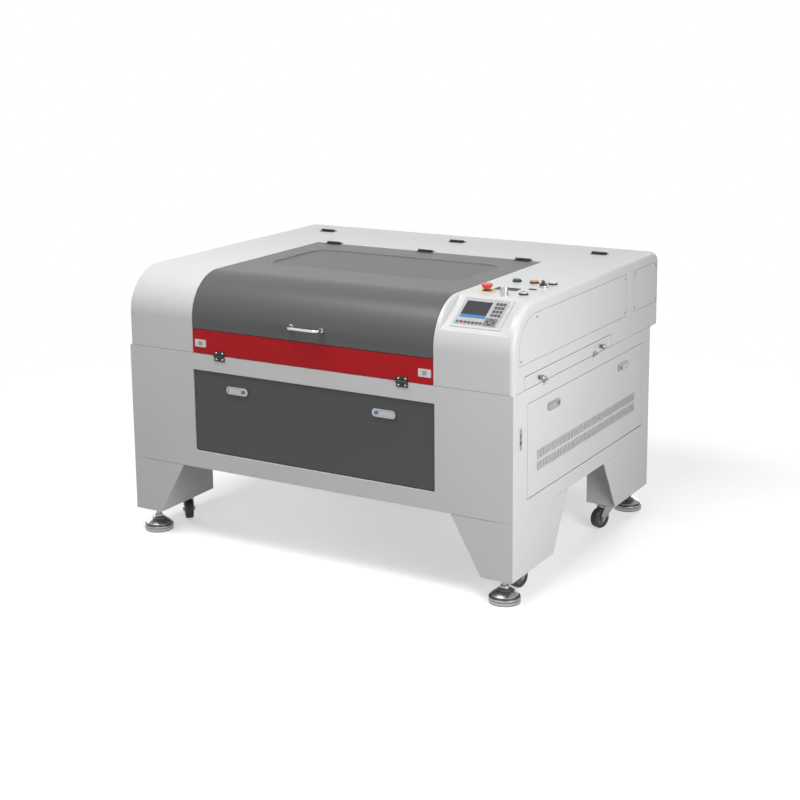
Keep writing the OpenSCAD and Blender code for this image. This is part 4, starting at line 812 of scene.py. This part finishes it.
# Solid turned round an axis from (radius, height) pairs, closed at both ends
def turned(name, profile, place, finishName, axis, steps):
    build = bmesh.new()
    rings = []
    for radius, height in profile:
        ring = []
        for i in range(steps):
            angle = 2 * math.pi * i / steps
            local = (radius * math.cos(angle), radius * math.sin(angle), height)
            if axis == "X":
                local = (local[2], local[0], local[1])
            ring.append(build.verts.new(Vector(local) + Vector(place)))
        rings.append(ring)
    for low, high in zip(rings, rings[1:]):
        for i in range(steps):
            after = (i + 1) % steps
            build.faces.new((low[i], low[after], high[after], high[i])).smooth = True
    build.faces.new(list(reversed(rings[0])))
    build.faces.new(rings[-1])
    bmesh.ops.remove_doubles(build, verts=build.verts, dist=mergeWithin)
    bmesh.ops.recalc_face_normals(build, faces=build.faces)
    for edge in build.edges:
        if len(edge.link_faces) == 2 and edge.calc_face_angle(0) > sharpFrom:
            edge.smooth = False
    return builtMesh(build, name, finishName)


# Block with bevelled edges between two corners
softEdge = {"segments": 2, "profile": 0.6}


def softBlock(name, low, high, finishName, bevel):
    build = bmesh.new()
    bmesh.ops.create_cube(build, size=1.0)
    size = high - low
    for vert in build.verts:
        vert.co = Vector([vert.co[i] * size[i] for i in range(3)])
    bmesh.ops.bevel(
        build, geom=build.edges[:], offset=bevel, affect="EDGES", **softEdge,
    )
    for vert in build.verts:
        vert.co = vert.co + middleOf(low, high)
    return builtMesh(build, name, finishName)


print("node trees made")


# A place given from the middle, the front face and the floor, in millimetres
def at(x, y, z):
    return Vector((x * mm, frontY + y * mm, z * mm))


# Panel screws stand where the CAD screws are
panelScrew = {"headRadius": 4.2 * mm, "headHeight": 2.0 * mm, "shankLength": 2.4 * mm}
seats, outwards = [], []
for low, high in looseParts("fasteners"):
    side = 1 if high.x > 0 else -1
    middle = middleOf(low, high)
    seats.append(Vector((side * rightX, middle.y, middle.z)))
    outwards.append((side, 0, 0))
addPiece("panelScrews", [grow(
    "panelScrews", screwTree, seats, outwards, (0, 0, 1), finish=finish["screwGrey"], **panelScrew,
)], "root", ["fasteners"])

# Hinge screws: two in each leaf
hinge = {
    "leaf": 2 * mm, "lidSpread": 18 * mm, "lidReach": 10.8 * mm, "frontSpread": 12 * mm,
    "frontReach": 10.2 * mm, "flapSpread": 8 * mm, "flapReach": 7.8 * mm, "flapOffset": 187.5 * mm,
    "big": {"headRadius": 3.2 * mm, "headHeight": 1.2 * mm, "shankLength": 1.5 * mm},
    "small": {"headRadius": 2.1 * mm, "headHeight": 0.8 * mm, "shankLength": 1.0 * mm},
}


def hingeScrews(name, places, outward, body, finishName, size="big"):
    addPiece(name, [
        grow(name, screwTree, places, outward, finish=finish[finishName], **hinge[size]),
    ], body)


def leafPlaces(centres, spreadAxis, spreadBy, shift):
    step = Vector([spreadBy if i == spreadAxis else 0.0 for i in range(3)])
    return [Vector(c) + Vector(shift) + step * side for c in centres for side in (-1, 1)]


def hingeCentres(leavesName, y, z):
    return [(middleOf(low, high).x, y, z) for low, high in looseParts(leavesName)]


def topPlaces(centres, shiftY):
    return leafPlaces(centres, 0, hinge["lidSpread"], (0, shiftY, 0))


def frontPlaces(shiftZ):
    return leafPlaces(frontCentres, 0, hinge["frontSpread"], (0, 0, shiftZ))


hingeTopZ = topZ + hinge["leaf"]
lidCentres = hingeCentres("lid_leaves", joints["lid_hinge"]["pos_m"][1], hingeTopZ)
coverCentres = hingeCentres("cover_leaves", joints["cover_hinge"]["pos_m"][1], hingeTopZ)
frontCentres = hingeCentres("flap_leaves", frontY - hinge["leaf"], seamZ)
lidReach, frontReach = hinge["lidReach"], hinge["frontReach"]
for name, places, body in (
    ("lidHingeScrews", topPlaces(lidCentres, -lidReach), "lid"),
    ("coverHingeScrews", topPlaces(coverCentres, lidReach), "tube_cover"),
    ("topHingeScrews", topPlaces(lidCentres, lidReach) + topPlaces(coverCentres, -lidReach),
        "root"),
):
    hingeScrews(name, places, (0, 0, 1), body, "hingeBlack")
for name, places, body in (
    ("flapHingeScrews", frontPlaces(frontReach), "front_flap"),
    ("cabinetHingeScrews", frontPlaces(-frontReach), "root"),
):
    hingeScrews(name, places, (0, -1, 0), body, "polishedChrome")
for side, body in ((1, "right_flap"), (-1, "left_flap")):
    middle = middleOf(*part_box(body)).y
    face = (rightX if side > 0 else leftX) + side * hinge["leaf"]
    centres = [(face, middle + turn * hinge["flapOffset"], seamZ) for turn in (-1, 1)]
    for up, rider in ((1, body), (-1, "root")):
        hingeScrews(
            "flapPinScrews_%s_%s" % (body, rider),
            leafPlaces(centres, 1, hinge["flapSpread"], (0, 0, up * hinge["flapReach"])),
            (side, 0, 0), rider, "polishedChrome", "small",
        )
print("screws made")

# Vent hoods over the slots of the side door, open towards the front; they are painted a darker grey
# than the shell, as painted shade of the slots behind them
vents = {
    "count": 38, "pitch": 20.5, "middle": 552, "rows": (401, 437), "sink": 0.4,
    "hood": {"width": 15.5 * mm, "height": 29 * mm, "rise": 1.5 * mm, "thickness": 0.5 * mm},
}
ventPlaces = [
    at(vents["sink"], vents["middle"] + (i - (vents["count"] - 1) / 2) * vents["pitch"], z)
    + Vector((rightX, 0, 0))
    for z in vents["rows"] for i in range(vents["count"])
]
addPiece("ventHoods", [grow(
    "ventHoods", hoodTree, ventPlaces, (1, 0, 0), (0, -1, 0), finish=finish["ventGrey"],
    **vents["hood"],
)], "right_door")


# Control keypad: the facet's own axes come from the display module's largest flat face
facet = {"slant": 0.2, "digits": 2, "parallel": 0.99, "layer": 0.2 * mm}


def facetAxes():
    mesh = nodes["display_module"].data
    sums = {}
    for face in mesh.polygons:
        if face.normal.z > facet["slant"] and face.normal.y < -facet["slant"]:
            key = tuple(round(c, facet["digits"]) for c in face.normal)
            sums.setdefault(key, [0.0, Vector((0, 0, 0))])
            sums[key][0] += face.area
            sums[key][1] += face.normal * face.area
    normal = max(sums.values(), key=lambda entry: entry[0])[1].normalized()
    across = Vector((1, 0, 0))
    along = normal.cross(across).normalized()
    spots = [v.co for v in mesh.vertices]
    depth = max(s.dot(normal) for s in spots)
    middle = [
        (min(s.dot(a) for s in spots) + max(s.dot(a) for s in spots)) / 2 for a in (across, along)
    ]
    return normal, across, along, depth, middle


facetNormal, facetAcross, facetAlong, facetDepth, facetMiddle = facetAxes()
paintFaces("display_module", (
    "moduleGrey", lambda c, n: n.dot(facetNormal) > facet["parallel"]
    and c.dot(facetNormal) > facetDepth - facet["layer"],
))


# A place on the facet: across, along and above the bezel's face, in millimetres
def onFacet(x, y, above=0.0):
    return (facetAcross * (facetMiddle[0] + x * mm) + facetAlong * (facetMiddle[1] + y * mm)
            + facetNormal * (facetDepth + above * mm))


def facetKeys(name, finishName, places, width, height, corner, rise, above=0.0):
    return grow(
        name, keyTree, [onFacet(x, y, above) for x, y in places], facetNormal, facetAcross,
        width=width * mm, height=height * mm, corner=corner * mm, rise=rise * mm,
        finish=finish[finishName],
    )


# Keys and plates are width, height, corner, rise and, where sunk, the place above the bezel
keypad = {
    "columns": (35.0, 46.6, 58.2), "rows": (40.0, 24.2, 8.4, -7.4), "key": (9.2, 10.8, 1.4, 1.3),
    "bottomRow": -45.5, "bottomKey": (9.8, 9.4, 1.3, 1.3), "startAt": -63.5, "stopAt": -50.4,
    "bottomGreys": (-37.2, -24.6, -12.0, 0.6, 13.2),
    "padCentre": (42.0, -36.6), "pad": (40.0, 32.0, 3.0, 1.0), "padRing": (11.0, 11.0, 5.4, 1.5),
    "padMiddle": (7.6, 7.6, 3.7, 1.9),
}
bottomRow, bottomKey = keypad["bottomRow"], keypad["bottomKey"]
gridPlaces = [(x, y) for x in keypad["columns"] for y in keypad["rows"]]
greyPlaces = [(x, bottomRow) for x in keypad["bottomGreys"]]
addPiece("keypadKeys", [
    facetKeys("gridKeys", "keyGrey", gridPlaces, *keypad["key"]),
    facetKeys("rowKeys", "keyGrey", greyPlaces, *bottomKey),
    facetKeys("startKey", "keyGreen", [(keypad["startAt"], bottomRow)], *bottomKey),
    facetKeys("stopKey", "keyRed", [(keypad["stopAt"], bottomRow)], *bottomKey),
], "root")

# Four arrows round the pad's ring: each level is the height above the bezel and the taper there
arrow = {
    "wide": 8.2, "tall": 6.8, "far": 16.2, "flatten": 0.86, "levels": ((0.9, 1.0), (1.5, 0.94)),
}


def makeArrow(quarter):
    build = bmesh.new()
    foot = arrow["far"] - arrow["tall"]
    cosine, sine = math.cos(quarter), math.sin(quarter)
    rings = []
    for above, taper in arrow["levels"]:
        ring = []
        for x, y in ((-arrow["wide"], foot), (arrow["wide"], foot), (0, arrow["far"])):
            px = x * cosine - y * sine * arrow["flatten"]
            py = x * sine + y * cosine * arrow["flatten"]
            spot = onFacet(padX + px * taper, padY + py * taper, above)
            ring.append(build.verts.new(spot))
        rings.append(ring)
    low, high = rings
    build.faces.new(high)
    build.faces.new(list(reversed(low)))
    for i in range(3):
        after = (i + 1) % 3
        build.faces.new((low[i], low[after], high[after], high[i]))
    bmesh.ops.recalc_face_normals(build, faces=build.faces)
    return builtMesh(build, "arrow", "arrowDark")


padX, padY = keypad["padCentre"]
arrows = [makeArrow(turn * math.pi / 2) for turn in range(4)]
addPiece("arrowPad", [
    facetKeys("padPlate", "padGrey", [keypad["padCentre"]], *keypad["pad"]),
    facetKeys("padRing", "ringGrey", [keypad["padCentre"]], *keypad["padRing"]),
    facetKeys("padMiddle", "keyGrey", [keypad["padCentre"]], *keypad["padMiddle"]),
] + arrows, "root")

screen = {
    "centre": (-25.0, 10.0), "pane": (84.0, 69.0, 1.0, 0.55, -0.95), "bandDrop": 28.2,
    "band": (83.0, 12.0, 0.4, 0.12, -0.4), "markOffset": 38.5, "mark": (4.0, 4.0, 1.9, 0.12, -0.28),
}
screenX, bandY = screen["centre"][0], screen["centre"][1] - screen["bandDrop"]
markPlace = (screenX - screen["markOffset"], bandY)
addPiece("screen", [
    facetKeys("screenPane", "screenDark", [screen["centre"]], *screen["pane"]),
    facetKeys("screenBand", "screenBlue", [(screenX, bandY)], *screen["band"]),
    facetKeys("screenMark", "lampGreen", [markPlace], *screen["mark"]),
], "root")
print("keypad made")

# Red face of the pale-rimmed button: radius, and height from the cap's top, in millimetres
redFace = {"profile": ((9.6, -0.6), (9.4, 0.1), (8.2, 0.5), (4.0, 0.75)), "steps": 40}
addPiece("redButtonFace", [turned(
    "redButtonFace", [(r * mm, redHigh.z + z * mm) for r, z in redFace["profile"]],
    (redAt.x, redAt.y, 0), "lensRed", "Z", redFace["steps"],
)], "red_button")

# Sockets of the port plate on the side: three bodies in a column, a round opening over each of
# the two joints between them, and a pin in the upper opening
port = {
    "y": 48, "z": 515, "step": 22.0, "body": (14.0, 20.0, 1.5), "depth": 14.5, "front": 1.0,
    "holes": (10.0, -11.0), "hole": (12.5, 12.5, 6.1, 1.3, 0.9), "pinAt": (10.0,),
    "pin": (4.6, 4.6, 2.2, 2.1, 0.4),
}


def portBlocks(name, finishName, heights, width, height, corner, start, rise):
    spots = [at(start, port["y"], port["z"] + z) + Vector((rightX, 0, 0)) for z in heights]
    return grow(
        name, keyTree, spots, (1, 0, 0), (0, 1, 0), width=width * mm, height=height * mm,
        corner=corner * mm, rise=rise * mm, finish=finish[finishName],
    )


socketBody = (*port["body"], port["front"] - port["depth"], port["depth"])
addPiece("portSockets", [
    portBlocks("portEnds", "portTan", (port["step"], -port["step"]), *socketBody),
    portBlocks("portMiddle", "portAmber", (0.0,), *socketBody),
    portBlocks("portHoles", "blackPlastic", port["holes"], *port["hole"]),
    portBlocks("portPin", "labelWhite", port["pinAt"], *port["pin"]),
], "root")

# Label plates on the front flap: plain, each with one raised blank field
label = {
    "centres": (-418, 420), "z": 691.5,
    "plate": {"width": 44 * mm, "height": 25 * mm, "corner": 2.5 * mm, "rise": 0.9 * mm},
    "field": {"width": 13 * mm, "height": 13 * mm, "corner": 0.6 * mm, "rise": 0.25 * mm},
}


def labelParts(name, finishName, forward, shape):
    spots = [at(x, 0, label["z"]) - Vector((0, forward, 0)) for x in label["centres"]]
    return grow(
        name, keyTree, spots, (0, -1, 0), (1, 0, 0), finish=finish[finishName], **shape,
    )


addPiece("flapPlates", [
    labelParts("flapPlates", "labelWhite", 0.0, label["plate"]),
    labelParts("flapFields", "fieldGrey", label["plate"]["rise"], label["field"]),
], "front_flap")

# Rubber bead round the window, under the lid
seal = {"radius": 2.2 * mm, "sides": 8, "inset": 6 * mm, "cornerRadius": 62 * mm, "sink": 0.8}


def roundedPath(low, high, radius, z, steps=10):
    points = []
    for cx, cy, start in (
        (high.x - radius, high.y - radius, 0), (low.x + radius, high.y - radius, 90),
        (low.x + radius, low.y + radius, 180), (high.x - radius, low.y + radius, 270),
    ):
        for i in range(steps + 1):
            angle = math.radians(start + 90 * i / steps)
            x, y = cx + radius * math.cos(angle), cy + radius * math.sin(angle)
            points.append(Vector((x, y, z)))
    return points


inset = Vector((seal["inset"], seal["inset"], 0))
beadPath = roundedPath(
    windowLow + inset, windowHigh - inset, seal["cornerRadius"],
    windowLow.z - seal["radius"] * seal["sink"],
)
addPiece("paneSeal", [grow(
    "paneSeal", barTree, beadPath, edges=pathEdges(len(beadPath), True),
    radius=seal["radius"], sides=seal["sides"], finish=finish["sealGrey"],
)], "lid")

# Fine honeycomb with its rim, in the place of the coarse CAD one
bed = {
    "cell": 12.0 * mm, "wall": 1.0 * mm, "depth": 18.0 * mm, "sink": 0.4 * mm,
    "rim": 9.0 * mm, "rimBevel": 0.8 * mm,
}
bedLow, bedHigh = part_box("honeycomb_bed")
pitch, rim = bed["cell"] + bed["wall"], bed["rim"]
columns = int((bedHigh.x - bedLow.x - 2 * rim) / (pitch * cosHex))
rows = int((bedHigh.y - bedLow.y - 2 * rim) / pitch - 0.5)
bedMiddle = middleOf(bedLow, bedHigh)
bedMiddle.z = bedHigh.z - bed["sink"] - bed["depth"] / 2
comb = grow(
    "comb", combTree, [bedMiddle], cell=bed["cell"], wall=bed["wall"], depth=bed["depth"],
    columns=columns, rows=rows, finish=finish["combAluminium"],
)
inY = Vector((0, rim, 0))
rimBars = [softBlock(name, low, high, "rawAluminium", bed["rimBevel"]) for name, low, high in (
    ("rimFront", bedLow, Vector((bedHigh.x, bedLow.y + rim, bedHigh.z))),
    ("rimRear", Vector((bedLow.x, bedHigh.y - rim, bedLow.z)), bedHigh),
    ("rimLeft", bedLow + inY, Vector((bedLow.x + rim, bedHigh.y - rim, bedHigh.z))),
    ("rimRight", Vector((bedHigh.x - rim, bedLow.y + rim, bedLow.z)), bedHigh - inY),
)]
addPiece("honeycomb", [comb] + rimBars, "table", ["honeycomb_bed"])
print("honeycomb made:", columns, "by", rows)

# Laser tube: inner tube, electrodes and end caps
tube = {
    "innerRadius": 9 * mm, "innerInset": 110 * mm, "chamfer": 2 * mm,
    "electrodeRadius": 17 * mm, "electrodeInset": 40 * mm, "electrodeLength": 70 * mm,
    "electrodeTip": 4 * mm, "tipShare": 0.5, "tailShare": 0.86, "capRadius": 14.6 * mm,
    "capOut": 1.5 * mm, "capLength": 7 * mm, "capEdge": (1 * mm, 7.6 * mm),
    "innerSteps": 24, "electrodeSteps": 32, "capSteps": 40,
}
tubeLow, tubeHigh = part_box("laser_tube")
tubeY, tubeZ = middleOf(tubeLow, tubeHigh).yz
tubeLine = (0, tubeY, tubeZ)
tubeEnds = ((tubeLow.x, 1), (tubeHigh.x, -1))
inner, chamfer = tube["innerRadius"], tube["chamfer"]
boreFrom, boreTo = tubeLow.x + tube["innerInset"], tubeHigh.x - tube["innerInset"]
meshes = [turned("innerTube", [
    (inner - chamfer, boreFrom), (inner, boreFrom + chamfer),
    (inner, boreTo - chamfer), (inner - chamfer, boreTo),
], tubeLine, "dischargePink", "X", tube["innerSteps"])]
for end, sign in tubeEnds:
    r = tube["electrodeRadius"]
    start = end + sign * tube["electrodeInset"]
    stop = start + sign * tube["electrodeLength"]
    meshes.append(turned("electrode", [
        (r * tube["tipShare"], start), (r, start + sign * tube["electrodeTip"]),
        (r, stop), (r * tube["tailShare"], stop + sign * mm),
    ], tubeLine, "zincPlate", "X", tube["electrodeSteps"]))
addPiece("tubeCore", meshes, "root")
capR = tube["capRadius"]
edgeIn, edgeAt = tube["capEdge"]
addPiece("tubeCaps", [turned("endCap", [
    (capR - tube["capOut"], end - sign * tube["capOut"]), (capR, end),
    (capR, end + sign * tube["capLength"]), (capR - edgeIn, end + sign * edgeAt),
], tubeLine, "brightSteel", "X", tube["capSteps"]) for end, sign in tubeEnds],
    "root")

# Two water hoses and the supply lead: from the tube's side to a grommet in the housing floor
hose = {
    "radius": 4.5 * mm, "finish": "hoseBlue", "inset": 18 * mm, "out": 12 * mm,
    "bends": ((0, 22 * mm, -4 * mm), (4 * mm, 38 * mm, -34 * mm)),
    "footInset": 14 * mm, "footOut": 52 * mm, "rise": 26 * mm,
}
lead = {
    "radius": 2.6 * mm, "finish": "wireRed", "inset": 16 * mm, "out": -12 * mm,
    "bends": ((0, -18 * mm, -2 * mm), (2 * mm, -34 * mm, -30 * mm)),
    "footInset": 12 * mm, "footOut": -46 * mm, "rise": 22 * mm,
}
hoseSides = 14
grommet = {"profile": ((7, -1.5), (9, 0), (8, 3), (5, 4)), "steps": 24}
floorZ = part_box("tube_clamps")[0].z


# Smooth curve through the given points
def smoothPath(points, steps=12):
    result = []
    spots = [Vector(p) for p in points]
    ends = [spots[0] * 2 - spots[1]] + spots + [spots[-1] * 2 - spots[-2]]
    for i in range(1, len(ends) - 2):
        a, b, c, d = ends[i - 1:i + 3]
        for k in range(steps):
            t = k / steps
            result.append(0.5 * ((2 * b) + (c - a) * t + (2 * a - 5 * b + 4 * c - d) * t * t
                                 + (3 * b - 3 * c + d - a) * t * t * t))
    result.append(spots[-1])
    return result


def routed(name, end, sign, run):
    start = Vector((end + sign * run["inset"], tubeY + run["out"], tubeZ))
    bends = [start + Vector((-sign * x, y, z)) for x, y, z in run["bends"]]
    foot = Vector((end + sign * run["footInset"], tubeY + run["footOut"], floorZ))
    landing = [foot + Vector((0, 0, z)) for z in (run["rise"], -mm)]
    path = smoothPath([start] + bends + landing)
    return [
        grow(name, barTree, path, edges=pathEdges(len(path)), radius=run["radius"],
             sides=hoseSides, finish=finish[run["finish"]]),
        turned("grommet", [(r * mm, floorZ + z * mm) for r, z in grommet["profile"]],
               (foot.x, foot.y, 0), "tyreRubber", "Z", grommet["steps"]),
    ]


addPiece("waterHoses", [
    *routed("returnHose", tubeLow.x, 1, hose), *routed("feedHose", tubeHigh.x, -1, hose),
], "root")
addPiece("supplyLead", routed("supplyLead", tubeHigh.x, -1, lead), "root")

# Adjusting screws on the backs of two mirror mounts, three on each
knob = {"headRadius": 4.5 * mm, "headHeight": 6 * mm, "shankLength": 8 * mm}
mirror = {"leftOf": -0.45, "fixedBack": 18, "reach": 10, "swingDepth": 16, "swingReach": 9}
mirrorBox = [box for box in looseParts("tube_clamps") if box[1].x < mirror["leftOf"]][0]
mirrorX = middleOf(*mirrorBox).x


def mirrorKnobs(name, centre, offsets, outward, body):
    addPiece(name, [grow(
        name, screwTree, [centre + Vector(offset) * mm for offset in offsets], outward,
        finish=finish["brassFitting"], **knob,
    )], body)


back, reach, swing = mirror["fixedBack"], mirror["reach"], mirror["swingReach"]
mirrorKnobs("fixedMirrorKnobs", Vector((mirrorX, tubeY, tubeZ)), (
    (-reach, back, reach), (reach, back, reach), (-reach, back, -reach),
), (0, 1, 0), "root")
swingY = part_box("gantry_beam")[0].y
side, depth = -mirror["swingDepth"], mirror["swingDepth"]
mirrorKnobs("gantryMirrorKnobs", Vector((mirrorX, swingY, tubeZ)), (
    (side, depth + swing, reach), (side, depth - swing, reach), (side, depth + swing, -reach),
), (-1, 0, 0), "gantry")
print("tube and mirror details made")

# Stage, light and camera
stage = {
    "floorSize": 60.0, "floorColour": (0.88, 0.88, 0.88), "bounceColour": (0.30, 0.30, 0.30),
    "floorRoughness": 0.95, "lift": 0.42, "fadeFrom": 1.4, "fadeTo": 2.8,
}
white = (1, 1, 1, 1)


# One for rays from the camera, a mirror or glass, nought for light that falls on the object
def seenRay(tree):
    path = addNode(tree, "ShaderNodeLightPath")
    both = addNode(tree, "ShaderNodeMath", {
        0: path.outputs["Is Camera Ray"], 1: path.outputs["Is Glossy Ray"],
    }, operation="ADD")
    return addNode(tree, "ShaderNodeMath", {
        0: both.outputs[0], 1: path.outputs["Is Transmission Ray"],
    }, operation="ADD", use_clamp=True).outputs[0]


# The floor takes the shadow near the object and passes into plain white further out
def makeStage():
    mesh = bpy.data.meshes.new("floor")
    half = stage["floorSize"] / 2
    outline = [(x * half, y * half, 0) for x, y in ((-1, -1), (1, -1), (1, 1), (-1, 1))]
    mesh.from_pydata(outline, [], [(0, 1, 2, 3)])
    floor = bpy.data.objects.new("floor", mesh)
    bpy.context.scene.collection.objects.link(floor)
    material = newMaterial("floorPaper", stage["floorColour"], 0.0, stage["floorRoughness"])
    tree = material.node_tree
    shader = tree.nodes["Principled BSDF"]
    shader.inputs["Emission Color"].default_value = white
    place = addNode(tree, "ShaderNodeTexCoord")
    distance = addNode(tree, "ShaderNodeVectorMath", {
        0: place.outputs["Object"],
    }, operation="LENGTH")
    fade = addNode(tree, "ShaderNodeMapRange", {
        "Value": distance.outputs["Value"], "From Min": stage["fadeFrom"],
        "From Max": stage["fadeTo"],
    }, interpolation_type="SMOOTHSTEP")
    glow = addNode(tree, "ShaderNodeEmission", {"Color": white, "Strength": 1.0})
    lift = addNode(tree, "ShaderNodeEmission", {"Color": white, "Strength": stage["lift"]})
    near = addNode(tree, "ShaderNodeAddShader", {0: shader.outputs[0], 1: lift.outputs[0]})
    whole = addNode(tree, "ShaderNodeMixShader", {
        "Fac": fade.outputs[0], 1: near.outputs[0], 2: glow.outputs[0],
    })
    bounce = addNode(tree, "ShaderNodeBsdfDiffuse", {"Color": (*stage["bounceColour"], 1)})
    choice = addNode(tree, "ShaderNodeMixShader", {
        "Fac": seenRay(tree), 1: bounce.outputs[0], 2: whole.outputs[0],
    })
    tree.links.new(choice.outputs[0], tree.nodes["Material Output"].inputs["Surface"])
    mesh.materials.append(material)


def areaLight(name, place, target, size, watts):
    data = bpy.data.lights.new(name, "AREA")
    data.shape = "RECTANGLE"
    data.size, data.size_y = size
    data.energy = watts
    lamp = bpy.data.objects.new(name, data)
    bpy.context.scene.collection.objects.link(lamp)
    lamp.location = place
    lamp.visible_camera = False
    lamp.rotation_euler = (Vector(target) - Vector(place)).to_track_quat("-Z", "Y").to_euler()


# Each lamp: place, what it points at, size in metres and watts
light = {
    "worldStrength": 0.11,
    "lamps": {
        "topSoftbox": ((-0.3, -1.6, 3.6), (0, -0.4, 0.8), (2.6, 1.0), 76),
        "frontSoftbox": ((-0.9, -3.0, 3.4), (0, -0.3, 0.6), (2.6, 1.8), 13.0),
        "rightSoftbox": ((3.2, -1.8, 1.7), (0.6, -0.2, 0.5), (1.8, 1.8), 20.0),
        "sideSoftbox": ((2.1, -0.75, 0.9), (0.7, -0.5, 0.5), (1.0, 0.8), 13.5),
        "leftSoftbox": ((-4.6, 1.2, 1.3), (0, 0.2, 0.5), (2.0, 2.0), 60.0),
        "rearSoftbox": ((0.1, 5.0, 1.0), (0, 0.4, 0.5), (1.1, 1.6), 90.0),
    },
}


def makeLight():
    world = bpy.data.worlds.new("studio")
    bpy.context.scene.world = world
    world.use_nodes = True
    tree = world.node_tree
    tree.nodes.clear()
    dim = addNode(tree, "ShaderNodeBackground", {
        "Color": white, "Strength": light["worldStrength"],
    })
    bright = addNode(tree, "ShaderNodeBackground", {"Color": white, "Strength": 1.0})
    mixed = addNode(tree, "ShaderNodeMixShader", {
        "Fac": seenRay(tree), 1: dim.outputs[0], 2: bright.outputs[0],
    })
    addNode(tree, "ShaderNodeOutputWorld", {"Surface": mixed.outputs[0]})
    for name, lamp in light["lamps"].items():
        areaLight(name, *lamp)


# Angles in degrees, focal length for a picture 800 wide, shift as a share of that width
view = {
    "azimuth": 30.495, "elevation": 11.079, "roll": -0.526, "focal": 1533.4, "shift": -0.1373,
    "place": (2.6134, -4.4297, 1.8144), "sensor": 36.0, "pictureWidth": 800,
}


def makeCamera():
    azimuth, elevation, roll = [
        math.radians(view[key]) for key in ("azimuth", "elevation", "roll")
    ]
    forward = Vector((
        -math.sin(azimuth) * math.cos(elevation), math.cos(azimuth) * math.cos(elevation),
        -math.sin(elevation),
    ))
    level = Vector((math.cos(azimuth), math.sin(azimuth), 0))
    up = level.cross(forward)
    right = math.cos(roll) * level + math.sin(roll) * up
    top = -math.sin(roll) * level + math.cos(roll) * up
    data = bpy.data.cameras.new("camera")
    data.sensor_width = view["sensor"]
    data.lens = view["focal"] * view["sensor"] / view["pictureWidth"]
    data.shift_y = view["shift"]
    camera = bpy.data.objects.new("camera", data)
    bpy.context.scene.collection.objects.link(camera)
    turn = Matrix((right, top, -forward)).transposed()
    camera.matrix_world = Matrix.Translation(Vector(view["place"])) @ turn.to_4x4()
    bpy.context.scene.camera = camera


makeStage()
makeLight()
makeCamera()
bpy.context.scene.view_settings.view_transform = "Standard"
print("stage, light and camera made")
